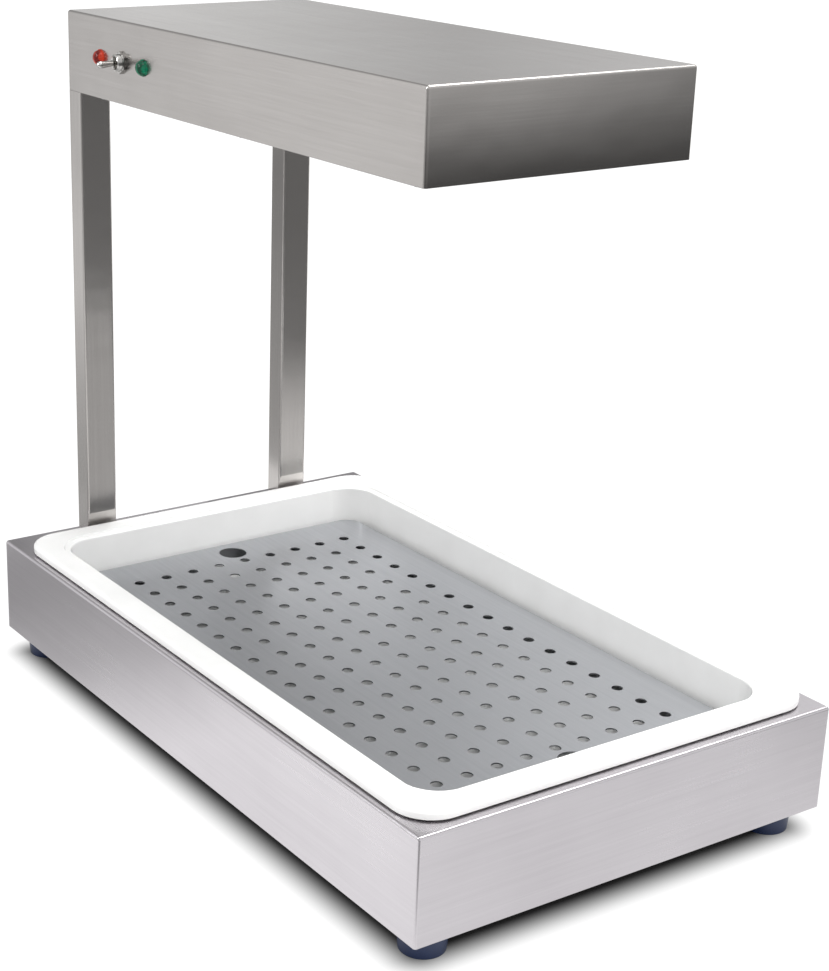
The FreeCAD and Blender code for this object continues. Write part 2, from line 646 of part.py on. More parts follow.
def toggle_lever():
    """Bat lever turned in one piece with its pivot ball, tipped towards the front at rest."""
    pivot = V(WALL_X - PIVOT_OUT, SWITCH_Y, CONTROL_Z)
    bat_l = LEVER_L - LEVER_TIP_R
    neck = math.sqrt(LEVER_BALL_R ** 2 - LEVER_NECK_R ** 2)
    tip_side = LEVER_TIP_R * math.sqrt(0.5)

    def at(out, radius):
        return pivot + V(-out, 0, radius)

    edges = [
        Part.Arc(at(-LEVER_BALL_R, 0), at(0, LEVER_BALL_R), at(neck, LEVER_NECK_R)).toShape(),
        Part.makeLine(at(neck, LEVER_NECK_R), at(bat_l, LEVER_TIP_R)),
        Part.Arc(at(bat_l, LEVER_TIP_R), at(bat_l + tip_side, tip_side), at(LEVER_L, 0)).toShape(),
        Part.makeLine(at(LEVER_L, 0), at(-LEVER_BALL_R, 0)),
    ]
    lever = Part.Face(Part.Wire(edges)).revolve(pivot, X_AXIS, 360)
    hole = cylinder(pivot - Z_AXIS * LEVER_BALL_R, Z_AXIS, PIN_R + THREAD_GAP, 2 * LEVER_BALL_R)
    lever = lever.cut(hole)
    lever.rotate(pivot, Z_AXIS, LEVER_REST_TILT)
    return lever


def switch_body():
    """Case of the toggle switch with three solder tabs."""
    x0 = WALL_INNER_X + WASHER_T
    half_y = SWITCH_BODY.y / 2
    half_z = SWITCH_BODY.z / 2
    x1 = x0 + SWITCH_BODY.x
    body = box(x0, x1, SWITCH_Y - half_y, SWITCH_Y + half_y, CONTROL_Z - half_z, CONTROL_Z + half_z)
    tabs = [box(x1, x1 + TAB_L, y - TAB_T / 2, y + TAB_T / 2, CONTROL_Z - TAB_W / 2, CONTROL_Z + TAB_W / 2)
            for y in (SWITCH_Y - SWITCH_TAB_SPACING, SWITCH_Y, SWITCH_Y + SWITCH_TAB_SPACING)]
    return body.multiFuse(tabs)


def pilot_lens(y):
    """Domed lens against the outside of the wall."""
    lens = cylinder(V(WALL_X, y, CONTROL_Z), -X_AXIS, LENS_R, LENS_OUT)
    rim = [e for e in lens.Edges if e.BoundBox.XMax < WALL_X - LENS_OUT + NEAR]
    return lens.makeFillet(LENS_OUT - LENS_SKIRT, rim)


def pilot_body(y):
    """Barrel of a pilot lamp through the wall, with two tabs."""
    barrel = cylinder(V(WALL_X, y, CONTROL_Z), X_AXIS, PILOT_R, PILOT_L)
    x1 = WALL_X + PILOT_L
    levels = (CONTROL_Z - PILOT_TAB_SPACING / 2, CONTROL_Z + PILOT_TAB_SPACING / 2)
    tabs = [box(x1, x1 + TAB_L, y - PILOT_TAB_W / 2, y + PILOT_TAB_W / 2, z - TAB_T / 2, z + TAB_T / 2)
            for z in levels]
    return barrel.multiFuse(tabs)


def add_controls(nodes):
    """Toggle switch and the two pilot lamps."""
    inner = V(WALL_INNER_X, SWITCH_Y, CONTROL_Z)
    nodes["switch_body"] = switch_body()
    nodes["switch_bushing"] = switch_bushing()
    nodes["switch_washer"] = washer(inner, X_AXIS, BUSHING_R + THREAD_GAP, LOCK_WASHER_R, WASHER_T)
    nodes["switch_nut"] = hex_nut(V(WALL_X, SWITCH_Y, CONTROL_Z), -X_AXIS, SWITCH_NUT_AF, SWITCH_NUT_T,
                                  BUSHING_R + THREAD_GAP)
    pin_half = BUSHING_R - PIN_END_GAP
    nodes["toggle_pin"] = cylinder(V(WALL_X - PIVOT_OUT, SWITCH_Y, CONTROL_Z - pin_half),
                                   Z_AXIS, PIN_R, 2 * pin_half)
    nodes["toggle_lever"] = toggle_lever()
    for colour, y in pilot_y().items():
        nodes[colour + "_pilot_lens"] = pilot_lens(y)
        nodes[colour + "_pilot_body"] = pilot_body(y)
    nodes["pilot_nuts"] = Part.makeCompound(
        [hex_nut(V(WALL_INNER_X, y, CONTROL_Z), X_AXIS, PILOT_NUT_AF, PILOT_NUT_T, PILOT_R + THREAD_GAP)
         for y in pilot_y().values()])


# ---- Cord inlet ----

def cord_gland():
    """Gland body: hexagon and domed cap outside, thread through the wall, bore for the seal."""
    centre = V(GLAND_X, BACK, HOOD_Z0 + GLAND_H)
    hexagon_part = hexagon(centre, Y_AXIS, GLAND_HEX_AF, GLAND_HEX_T)
    cap = Part.makeCone(GLAND_CAP_R, SEAL_R + SHEET, GLAND_OUT - GLAND_HEX_T,
                        centre + Y_AXIS * GLAND_HEX_T, Y_AXIS)
    thread = cylinder(centre, -Y_AXIS, GLAND_THREAD_R, GLAND_THREAD_L)
    body = hexagon_part.multiFuse([cap, thread])
    return body.cut(cylinder(centre - Y_AXIS * GLAND_THREAD_L, Y_AXIS, SEAL_R, GLAND_THREAD_L + GLAND_OUT))


def add_gland(nodes):
    """Gland on the back of the hood, with its seal and lock nut."""
    centre = V(GLAND_X, BACK, HOOD_Z0 + GLAND_H)
    nodes["cord_gland"] = cord_gland()
    nodes["gland_seal"] = washer(centre - Y_AXIS * GLAND_THREAD_L, Y_AXIS, CORD_BORE_R, SEAL_R,
                                 GLAND_THREAD_L + GLAND_OUT)
    nodes["gland_nut"] = hex_nut(centre - Y_AXIS * SHEET, -Y_AXIS, GLAND_HEX_AF, GLAND_NUT_T,
                                 GLAND_THREAD_R + THREAD_GAP)


# ---- Wiring ----

def wire(points):
    """Insulated wire along straight runs with round bends."""
    edges = []
    start = points[0]
    for before, corner, after in zip(points, points[1:], points[2:]):
        incoming = (corner - before).normalize()
        outgoing = (after - corner).normalize()
        turn = incoming.getAngle(outgoing)
        trim = WIRE_BEND_R * math.tan(turn / 2)
        bend_start = corner - incoming * trim
        bend_end = corner + outgoing * trim
        inward = (outgoing - incoming).normalize()
        middle = corner + inward * (WIRE_BEND_R / math.cos(turn / 2) - WIRE_BEND_R)
        edges.append(Part.makeLine(start, bend_start))
        edges.append(Part.Arc(bend_start, middle, bend_end).toShape())
        start = bend_end
    edges.append(Part.makeLine(start, points[-1]))
    first = (points[1] - points[0]).normalize()
    section = Part.Wire(Part.makeCircle(WIRE_R, points[0], first))
    return Part.Wire(edges).makePipeShell([section], True, False)


def terminal_block():
    """Ceramic terminal block with one slot between each pair of ways."""
    y0 = BACK - TERMINAL_FROM_BACK
    block = box(TERMINAL_X, TERMINAL_X + TERMINAL_BLOCK.x, y0, y0 + TERMINAL_BLOCK.y,
                PANEL_Z1, PANEL_Z1 + TERMINAL_BLOCK.z)
    slots = []
    for way in range(1, TERMINAL_WAYS):
        x = TERMINAL_X + TERMINAL_BLOCK.x * way / TERMINAL_WAYS
        slots.append(box(x - TERMINAL_SLOT_W / 2, x + TERMINAL_SLOT_W / 2, y0, y0 + TERMINAL_BLOCK.y,
                         PANEL_Z1 + TERMINAL_BLOCK.z / 2, PANEL_Z1 + TERMINAL_BLOCK.z))
    return block.cut(Part.makeCompound(slots))


def terminal_way(way):
    """Centre of one way on the top of the terminal block."""
    x = TERMINAL_X + TERMINAL_BLOCK.x * (way + 0.5) / TERMINAL_WAYS
    y = BACK - TERMINAL_FROM_BACK + TERMINAL_BLOCK.y / 2
    return V(x, y, PANEL_Z1 + TERMINAL_BLOCK.z)


def socket_top(side_x, side_y, offset):
    """Point on the top of a lamp socket, off its middle towards the reflector or away from it."""
    y = lamp_end(side_y) + side_y * (CAP_L - SOCKET_DEPTH + HOLDER_D / 2 + offset)
    return V(side_x * LAMP_X, y, LAMP_Z + HOLDER_H / 2)


def link_wire(start, end):
    """Wire that rises from one lamp socket and comes down on another."""
    rise = V(0, 0, LINK_RISE)
    return wire([start, start + rise, end + rise, end])


def tab_wire(start, end):
    """Wire that leaves one tab along +X, turns, and comes back to another."""
    x = max(start.x, end.x) + WIRE_REACH
    return wire([start, V(x, start.y, start.z), V(x, end.y, start.z), V(end.x, end.y, start.z)])


def lamp_wires():
    """Wires of the lamp circuit: terminals, switch, and a link across each pair of sockets."""
    high = HOOD_Z1 - SHEET - TOP_GAP
    live, neutral = terminal_way(0), terminal_way(1)
    tab_x = WALL_INNER_X + WASHER_T + SWITCH_BODY.x + TAB_L
    turn_x = tab_x + WIRE_REACH
    front_tab = V(tab_x, SWITCH_Y - SWITCH_TAB_SPACING, CONTROL_Z + TAB_WIRE_OFFSET)
    fed = socket_top(-1, 1, WIRE_OFFSET)
    back = socket_top(1, -1, -WIRE_OFFSET)
    level = LAMP_Z + HOLDER_H / 2 + 2 * LINK_RISE
    return {
        "wire_live": wire([live, V(live.x, live.y, high), V(live.x, SWITCH_Y, high),
                           V(turn_x, SWITCH_Y, high), V(turn_x, SWITCH_Y, CONTROL_Z),
                           V(tab_x, SWITCH_Y, CONTROL_Z)]),
        "wire_switched": wire([front_tab, V(fed.x - WIRE_REACH, front_tab.y, front_tab.z),
                               V(fed.x - WIRE_REACH, fed.y, front_tab.z),
                               V(fed.x - WIRE_REACH, fed.y, level), V(fed.x, fed.y, level), fed]),
        "wire_link_rear": link_wire(socket_top(-1, 1, -WIRE_OFFSET), socket_top(1, 1, -WIRE_OFFSET)),
        "wire_link_front": link_wire(socket_top(-1, -1, WIRE_OFFSET), socket_top(1, -1, WIRE_OFFSET)),
        "wire_neutral": wire([back, V(back.x, back.y, high), V(back.x, neutral.y - WIRE_REACH, high),
                              V(neutral.x, neutral.y, high), neutral]),
    }


def pilot_wires():
    """Wires from each pilot lamp to the nearest tab of the switch."""
    switch_x = WALL_INNER_X + WASHER_T + SWITCH_BODY.x + TAB_L
    pilot_x = WALL_X + PILOT_L + TAB_L
    wires = []
    for side, colour in ((1, "red"), (-1, "green")):
        z = CONTROL_Z - PILOT_TAB_SPACING / 2
        wires.append(tab_wire(V(pilot_x, pilot_y()[colour], z),
                              V(switch_x, SWITCH_Y + side * SWITCH_TAB_SPACING, z)))
    return Part.makeCompound(wires)


def add_wiring(nodes):
    """Terminal block, earth stud and the wires between the terminals, the controls and the lamps."""
    nodes["terminal_block"] = terminal_block()
    nodes.update(lamp_wires())
    nodes["pilot_wires"] = pilot_wires()
    earth = terminal_way(2)
    pilot = V(WALL_X + PILOT_L + TAB_L, pilot_y()["red"], CONTROL_Z + PILOT_TAB_SPACING / 2)
    low = PANEL_Z1 + TERMINAL_BLOCK.z / 2
    drop_x = TERMINAL_X - 2 * WIRE_REACH
    nodes["wire_pilot_neutral"] = wire([pilot, V(drop_x, pilot.y, pilot.z), V(drop_x, pilot.y, low),
                                        V(TERMINAL_X, pilot.y, low)])
    stud = V(EARTH_X, BACK - EARTH_FROM_BACK, PANEL_Z1)
    level = earth.z + WIRE_REACH
    nodes["wire_earth"] = wire([earth, V(earth.x, earth.y, level), V(stud.x, earth.y, level),
                                V(stud.x, stud.y, level), stud + Z_AXIS * EARTH_L])
    nodes["earth_stud"] = cylinder(stud, Z_AXIS, EARTH_R, EARTH_L)
    nodes["earth_nuts"] = Part.makeCompound(
        [hex_nut(stud + Z_AXIS * z, Z_AXIS, EARTH_NUT_AF, EARTH_NUT_T, EARTH_R + THREAD_GAP)
         for z in (0, EARTH_NUT_T + EARTH_NUT_GAP)])


# ---- Food tray and insert ----

def well_profile(corner):
    """Section of the tray's well, outwards along +X from the centre of a corner to the rim."""
    rim = BASE_Z1 + TRAY_RIM_H
    ledge = rim - LEDGE_DROP
    outer = LEDGE_OUT_R + TRAY_T
    floor = TRAY_FLOOR_Z
    under = floor - TRAY_T
    step = LEDGE_OUT_R + LEDGE_DROP / 2
    cove = WALL_FOOT_R - FLOOR_EDGE_R
    inside = [
        ("line", (0, floor), (FLOOR_EDGE_R, floor)),
        ("out", (FLOOR_EDGE_R, floor), (WALL_FOOT_R, floor + cove)),
        ("line", (WALL_FOOT_R, floor + cove), (WALL_TOP_R, ledge - LEDGE_ROUND_R)),
        ("up", (WALL_TOP_R, ledge - LEDGE_ROUND_R), (WALL_TOP_R + LEDGE_ROUND_R, ledge)),
        ("line", (WALL_TOP_R + LEDGE_ROUND_R, ledge), (LEDGE_OUT_R, ledge)),
        ("line", (LEDGE_OUT_R, ledge), (step, rim)),
    ]
    outside = [
        ("line", (step, rim), (outer, rim)),
        ("line", (outer, rim), (outer, ledge - TRAY_T)),
        ("line", (outer, ledge - TRAY_T), (WALL_TOP_R + TRAY_T, ledge - TRAY_T)),
        ("line", (WALL_TOP_R + TRAY_T, ledge - TRAY_T), (WALL_FOOT_R + TRAY_T, floor + cove)),
        ("in", (WALL_FOOT_R + TRAY_T, floor + cove), (FLOOR_EDGE_R, under)),
        ("line", (FLOOR_EDGE_R, under), (0, under)),
        ("line", (0, under), (0, floor)),
    ]
    edges = [section_edge(corner, *entry) for entry in inside + outside]
    return Part.Face(Part.Wire(edges))


def section_edge(corner, form, start, end):
    """One edge of an upright section: a line, or a quarter round that leaves its start as named."""
    a = V(corner.x + start[0], corner.y, start[1])
    b = V(corner.x + end[0], corner.y, end[1])
    if form == "line":
        return Part.makeLine(a, b)
    middle_share = math.sqrt(0.5)
    if form == "out":
        turn = V(middle_share, 0, 1 - middle_share)
    else:
        turn = V(1 - middle_share, 0, middle_share)
    middle = a + V((b.x - a.x) * turn.x, 0, (b.z - a.z) * turn.z)
    return Part.Arc(a, middle, b).toShape()


def tray_rim():
    """Flat rim round the well, with a round edge and a short lip turned down."""
    half_x = TRAY_W / 2
    half_y = TRAY_D / 2
    top = BASE_Z1 + TRAY_RIM_H
    lip = BASE_Z1 + TRAY_LIP_H
    rim = rounded_slab(half_x, half_y, TRAY_Y, TRAY_CORNER_R, lip, top)
    rim = rim.makeFillet(LIP_ROUND_R, [e for e in rim.Edges if e.BoundBox.ZMin > top - NEAR])
    under = rounded_slab(half_x - TRAY_T, half_y - TRAY_T, TRAY_Y, TRAY_CORNER_R - TRAY_T,
                         lip, top - TRAY_T)
    mouth_r = LEDGE_OUT_R + TRAY_T
    mouth = rounded_slab(WELL_X + mouth_r, WELL_Y + mouth_r, TRAY_Y, mouth_r, lip, top)
    return rim.cut(under).cut(mouth)


def food_tray():
    """One-piece tray: the well's section turned round its corners and run along its sides."""
    pieces = [tray_rim()]
    corners = [V(WELL_X, TRAY_Y - WELL_Y, 0), V(WELL_X, TRAY_Y + WELL_Y, 0),
               V(-WELL_X, TRAY_Y + WELL_Y, 0), V(-WELL_X, TRAY_Y - WELL_Y, 0)]
    runs = [2 * WELL_Y, 2 * WELL_X, 2 * WELL_Y, 2 * WELL_X]
    for index, (corner, run) in enumerate(zip(corners, runs)):
        section = well_profile(corner)
        turn = 90.0 * (index - 1)
        bend = section.revolve(corner, Z_AXIS, 90)
        bend.rotate(corner, Z_AXIS, turn)
        straight = section.extrude(V(0, run, 0))
        straight.rotate(corner, Z_AXIS, turn + 90)
        pieces.extend([bend, straight])
    floor = box(-WELL_X, WELL_X, TRAY_Y - WELL_Y, TRAY_Y + WELL_Y, TRAY_FLOOR_Z - TRAY_T, TRAY_FLOOR_Z)
    return floor.multiFuse(pieces).removeSplitter()


def drain_insert():
    """Perforated sheet that stands on its folded edges in the tray, with two finger holes."""
    half_x = WELL_X + INSERT_CORNER_R
    half_y = WELL_Y + INSERT_CORNER_R
    top = TRAY_FLOOR_Z + INSERT_H
    body = rounded_slab(half_x, half_y, TRAY_Y, INSERT_CORNER_R, TRAY_FLOOR_Z, top)
    rim = [e for e in body.Edges if e.BoundBox.ZMin > top - NEAR]
    body = body.makeFillet(INSERT_EDGE_R, rim)
    body = body.cut(rounded_slab(half_x - INSERT_T, half_y - INSERT_T, TRAY_Y,
                                 INSERT_CORNER_R - INSERT_T, TRAY_FLOOR_Z, top - INSERT_T))
    holes = []
    for column in range(INSERT_COLUMNS):
        for row in range(INSERT_ROWS):
            x = (column - (INSERT_COLUMNS - 1) / 2) * INSERT_PITCH
            y = TRAY_Y + (row - (INSERT_ROWS - 1) / 2) * INSERT_PITCH
            holes.append(V(x, y, top))
    body = drill(body, holes, Z_AXIS, INSERT_HOLE_R, 4 * INSERT_T)
    reach = half_y - FINGER_HOLE_INSET
    fingers = [V(0, TRAY_Y - reach, top), V(0, TRAY_Y + reach, top)]
    return drill(body, fingers, Z_AXIS, FINGER_HOLE_R, 4 * INSERT_T)


def add_food_parts(nodes):
    """The lift-out tray and the insert that stands in it."""
    nodes["food_tray"] = food_tray()
    nodes["drain_insert"] = drain_insert()


def build():
    """Every node of the warmer, by name."""
    nodes = {}
    add_base(nodes)
    add_posts(nodes)
    add_hood(nodes)
    add_lamps(nodes)
    add_guard(nodes)
    add_controls(nodes)
    add_gland(nodes)
    add_wiring(nodes)
    add_food_parts(nodes)
    return nodes


def export(nodes):
    """One STEP file for each node."""
    os.makedirs("parts", exist_ok=True)
    for name, shape in nodes.items():
        shape.exportStep(os.path.join("parts", name + ".step"))
        print(name, "solids", len(shape.Solids), "valid", shape.isValid(),
              "volume", round(shape.Volume, 1))


export(build())
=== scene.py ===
# Looks of the heat lamp warmer: materials, detail pieces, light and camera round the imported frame.
# Metres. +Z is up, the front faces -Y, and the switch side faces -X.
import json
import math

import bmesh
import bpy
from mathutils import Matrix, Vector


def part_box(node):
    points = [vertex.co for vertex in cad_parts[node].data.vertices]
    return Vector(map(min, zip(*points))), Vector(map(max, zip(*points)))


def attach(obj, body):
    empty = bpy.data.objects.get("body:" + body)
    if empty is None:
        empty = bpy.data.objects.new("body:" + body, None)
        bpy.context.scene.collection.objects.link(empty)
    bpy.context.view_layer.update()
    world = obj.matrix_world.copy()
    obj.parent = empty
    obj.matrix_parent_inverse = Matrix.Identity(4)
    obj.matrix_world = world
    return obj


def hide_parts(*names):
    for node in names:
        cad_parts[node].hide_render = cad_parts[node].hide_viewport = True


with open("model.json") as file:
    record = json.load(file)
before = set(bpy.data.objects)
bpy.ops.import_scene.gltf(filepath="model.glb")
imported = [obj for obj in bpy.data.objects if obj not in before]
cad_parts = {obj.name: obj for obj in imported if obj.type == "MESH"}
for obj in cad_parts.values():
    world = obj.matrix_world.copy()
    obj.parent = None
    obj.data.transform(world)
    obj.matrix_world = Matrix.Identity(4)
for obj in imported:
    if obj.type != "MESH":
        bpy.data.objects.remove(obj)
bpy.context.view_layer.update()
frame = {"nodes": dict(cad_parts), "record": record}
NODES = frame["nodes"]

MM = 0.001
Y_AXIS = Vector((0, 1, 0))
Z_AXIS = Vector((0, 0, 1))
OUT = Vector((-1, 0, 0))      # out from the hood's switch side


# ---- Materials ----

class Look:
    """A material on one Principled shader, with short calls for the nodes that feed it."""

    def __init__(self, name, color, roughness, **sockets):
        self.material = bpy.data.materials.new(name)
        self.material.use_nodes = True
        self.tree = self.material.node_tree
        self.shader = self.tree.nodes["Principled BSDF"]
        self.set("Base Color", (*color, 1.0))
        self.set("Roughness", roughness)
        for socket, value in sockets.items():
            self.set(socket.replace("_", " "), value)

    def set(self, socket, value):
        """Give one of the shader's own sockets a constant value."""
        self.shader.inputs[socket].default_value = value

    def feed(self, socket, output):
        """Link an output to one of the shader's sockets."""
        self.tree.links.new(output, self.shader.inputs[socket])

    def node(self, kind, inputs=None, **settings):
        """New node. Each input is a constant or another node's output."""
        made = self.tree.nodes.new(kind)
        for key, value in settings.items():
            setattr(made, key, value)
        for key, value in (inputs or {}).items():
            if isinstance(value, bpy.types.NodeSocket):
                self.tree.links.new(value, made.inputs[key])
            else:
                made.inputs[key].default_value = value
        return made

    def noise(self, stretch, detail):
        """Noise in the piece's own coordinates, with stretch cells to the metre along each axis."""
        place = self.node("ShaderNodeTexCoord").outputs["Object"]
        scaled = self.node("ShaderNodeMapping", {"Vector": place, "Scale": stretch})
        texture = self.node("ShaderNodeTexNoise", {"Vector": scaled.outputs["Vector"], "Scale": 1.0,
                                                   "Detail": detail})
        return texture.outputs["Fac"]

    def spread(self, value, low, high, start=0.3, end=0.7, ease="LINEAR"):
        """Value between start and end turned into one between low and high."""
        ranged = self.node("ShaderNodeMapRange",
                           {"Value": value, "From Min": start, "From Max": end,
                            "To Min": low, "To Max": high}, interpolation_type=ease)
        return ranged.outputs["Result"]

    def math(self, operation, a, b=0.0):
        """Arithmetic on one or two values."""
        return self.node("ShaderNodeMath", {0: a, 1: b}, operation=operation).outputs[0]

    def choose(self, share, a, b):
        """Value that goes from a to b."""
        return self.node("ShaderNodeMix", {0: share, 2: a, 3: b}).outputs[0]

    def tint(self, share, dark, light):
        """Colour that goes from dark to light."""
        mixed = self.node("ShaderNodeMix", {0: share, 6: (*dark, 1.0), 7: (*light, 1.0)},
                          data_type="RGBA")
        return mixed.outputs[2]

    def bump(self, height, depth, strength):
        """Surface relief of a real depth."""
        relief = self.node("ShaderNodeBump", {"Height": height, "Distance": depth,
                                              "Strength": strength})
        self.feed("Normal", relief.outputs["Normal"])


# Noise scales in cells to the metre
FINE_GRAIN = {"across": 2600.0, "along": 24.0}
BROAD_GRAIN = {"across": 420.0, "along": 7.0}
STEEL_CLOUD = (9.0, 7.0, 9.0)
SHEET_WAVES = (11.0, 14.0, 17.0)
MOULDED_CLOUD = (35.0, 35.0, 35.0)
MOULDED_SKIN = (900.0, 900.0, 900.0)
LENS_PAINTED_LIGHT_STREAKS = (110.0, 330.0, 80.0)
LENS_SKIN = (400.0, 400.0, 400.0)
QUARTZ_LINES = (500.0, 6.0, 500.0)

SHEET_WAVE_DEPTH = 0.7 * MM
FINE_RELIEF = 0.01 * MM
EVEN_MIX = 0.5
END_FACE_NORMAL = 0.7         # the front and back faces' normals have more along Y than this


def streaks(look, along):
    """Brushed grain that runs along one axis: fine lines, broken up along their length."""
    scales = []
    for grain in (FINE_GRAIN, BROAD_GRAIN):
        scale = [grain["across"]] * 3
        scale[along] = grain["along"]
        scales.append(scale)
    fine, broad = look.noise(scales[0], detail=3.0), look.noise(scales[1], detail=2.0)
    return look.choose(EVEN_MIX, fine, broad)


def brushed_steel(name, dark, light, smooth, rough, grain):
    """Number 4 brushed stainless. grain is the axis of its lines, or "box" for a folded box."""
    look = Look(name, light, smooth, Metallic=1.0)
    if grain == "box":
        normal = look.node("ShaderNodeNewGeometry").outputs["Normal"]
        towards = look.node("ShaderNodeSeparateXYZ", {0: normal}).outputs["Y"]
        end_face = look.math("GREATER_THAN", look.math("ABSOLUTE", towards), END_FACE_NORMAL)
        grain_lines = look.choose(end_face, streaks(look, 1), streaks(look, 0))
    else:
        grain_lines = streaks(look, grain)
    share = look.choose(EVEN_MIX, grain_lines, look.noise(STEEL_CLOUD, detail=3.0))
    look.feed("Base Color", look.tint(look.spread(share, 0.0, 1.0), dark, light))
    look.feed("Roughness", look.spread(share, rough, smooth))
    waves = look.node("ShaderNodeBump", {"Height": look.noise(SHEET_WAVES, detail=2.0),
                                         "Distance": SHEET_WAVE_DEPTH, "Strength": 1.0})
    grain_bump = look.node("ShaderNodeBump", {"Height": grain_lines, "Distance": FINE_RELIEF,
                                              "Strength": 0.2, "Normal": waves.outputs["Normal"]})
    look.feed("Normal", grain_bump.outputs["Normal"])
    return look.material


def plated_metal(name, dark, light, roughness, mottle):
    """Plated, turned or drawn metal, slightly clouded."""
    look = Look(name, light, roughness, Metallic=1.0)
    cloud = look.noise((mottle, mottle, mottle), detail=4.0)
    look.feed("Base Color", look.tint(look.spread(cloud, 0.0, 1.0), dark, light))
    look.feed("Roughness", look.spread(cloud, roughness * 0.8, roughness * 1.3))
    look.bump(cloud, FINE_RELIEF, strength=0.3)
    return look.material


def moulded(name, dark, light, roughness, texture_depth, **sockets):
    """Moulded plastic, rubber or ceramic: a faintly clouded colour over an orange-peel skin."""
    look = Look(name, light, roughness, **sockets)
    cloud = look.noise(MOULDED_CLOUD, detail=3.0)
    look.feed("Base Color", look.tint(look.spread(cloud, 0.0, 1.0), dark, light))
    look.feed("Roughness", look.spread(cloud, roughness * 0.85, roughness * 1.15))
    look.bump(look.noise(MOULDED_SKIN, detail=2.0), texture_depth, strength=0.5)
    return look.material


def lens_plastic(name, dark, light):
    """Glossy coloured moulding with painted streaks: highlights in the light colour over painted
    shade in the dark one.
    """
    look = Look(name, light, 0.10, Transmission_Weight=0.1, IOR=1.33, Coat_Weight=0.1,
                Coat_Roughness=0.05)
    # Painted highlight and shade: noise streaks between the dark and light colours
    streak = look.spread(look.noise(LENS_PAINTED_LIGHT_STREAKS, detail=2.0), 0.0, 1.0, start=0.40, end=0.60)
    look.feed("Base Color", look.tint(streak, dark, light))
    look.bump(look.noise(LENS_SKIN, detail=1.0), FINE_RELIEF, strength=0.3)
    return look.material


def quartz_glass(name):
    """Clear tube with faint draw lines along it."""
    look = Look(name, (0.97, 0.97, 0.96), 0.02, Transmission_Weight=1.0, IOR=1.46)
    look.bump(look.noise(QUARTZ_LINES, detail=2.0), FINE_RELIEF, strength=0.4)
    return look.material


# Dark colour, light colour, least and most roughness, and the grain's direction
BRUSHED_STEELS = {
    "base_steel": ((0.555, 0.53, 0.555), (0.655, 0.63, 0.655), 0.25, 0.34, "box"),
    # The hood's and posts' steel is the base's stainless, given darker colours as painted shade
    "hood_steel": ((0.46, 0.44, 0.425), (0.55, 0.53, 0.515), 0.18, 0.26, "box"),
    "post_steel": ((0.46, 0.44, 0.425), (0.55, 0.53, 0.515), 0.18, 0.26, 2),
    "insert_steel": ((0.40, 0.41, 0.43), (0.50, 0.51, 0.53), 0.34, 0.44, 1),
}
# Dark colour, light colour, roughness, and cloud cells to the metre
PLATED_METALS = {
    "zinc_steel": ((0.50, 0.51, 0.53), (0.62, 0.63, 0.65), 0.30, 60.0),
    "guard_wire": ((0.62, 0.62, 0.63), (0.74, 0.74, 0.75), 0.20, 90.0),
    "switch_chrome": ((0.44, 0.43, 0.42), (0.60, 0.59, 0.57), 0.09, 200.0),
    "earth_brass": ((0.62, 0.45, 0.20), (0.80, 0.62, 0.30), 0.28, 120.0),
    "tungsten": ((0.16, 0.15, 0.15), (0.26, 0.24, 0.22), 0.45, 300.0),
    "reflector_aluminium": ((0.80, 0.81, 0.82), (0.90, 0.90, 0.91), 0.18, 14.0),
}
# Dark colour, light colour, roughness, and the depth of the skin's texture
MOULDINGS = {
    "foot_rubber": ((0.007, 0.016, 0.054), (0.012, 0.027, 0.086), 0.38, 0.05 * MM),
    "seal_rubber": ((0.012, 0.012, 0.013), (0.022, 0.022, 0.024), 0.6, 0.05 * MM),
    "lamp_ceramic": ((0.78, 0.76, 0.70), (0.88, 0.86, 0.80), 0.55, 0.04 * MM),
    "switch_plastic": ((0.02, 0.02, 0.022), (0.035, 0.035, 0.037), 0.4, 0.03 * MM),
    "pilot_plastic": ((0.70, 0.69, 0.65), (0.80, 0.79, 0.75), 0.4, 0.02 * MM),
    "gland_nylon": ((0.018, 0.018, 0.02), (0.03, 0.03, 0.033), 0.42, 0.04 * MM),
    "brown_insulation": ((0.14, 0.06, 0.03), (0.2, 0.09, 0.04), 0.45, 0.02 * MM),
    "blue_insulation": ((0.02, 0.07, 0.3), (0.03, 0.1, 0.4), 0.45, 0.02 * MM),
    "green_insulation": ((0.3, 0.42, 0.04), (0.08, 0.35, 0.06), 0.45, 0.02 * MM),
}
# Dark colour and light colour: painted shade and painted highlight streaks
LENSES = {
    "red_lens": ((0.14, 0.003, 0.001), (0.62, 0.045, 0.015)),
    "green_lens": ((0.0, 0.05, 0.024), (0.002, 0.23, 0.115)),
}


def make_looks():
    """Every material, by the material slot that it dresses."""
    looks = {}
    for maker, table in ((brushed_steel, BRUSHED_STEELS), (plated_metal, PLATED_METALS),
                         (moulded, MOULDINGS), (lens_plastic, LENSES)):
        for slot, values in table.items():
            looks[slot] = maker(slot, *values)
    looks["tray_white"] = moulded("tray_white", (0.91, 0.91, 0.90), (0.95, 0.95, 0.94), 0.22,
                                  0.01 * MM, Coat_Weight=0.35, Coat_Roughness=0.08)
    looks["quartz"] = quartz_glass("quartz")
    return looks


LOOKS = make_looks()


def dress_nodes():
    """Give every CAD node the look of its own material slot."""
    for part in frame["record"]["subparts"]:
        mesh = NODES[part["node"]].data
        mesh.materials.clear()
        mesh.materials.append(LOOKS[part["material_slot"]])


# ---- Mesh helpers ----

SHARP_ANGLE = math.radians(35.0)


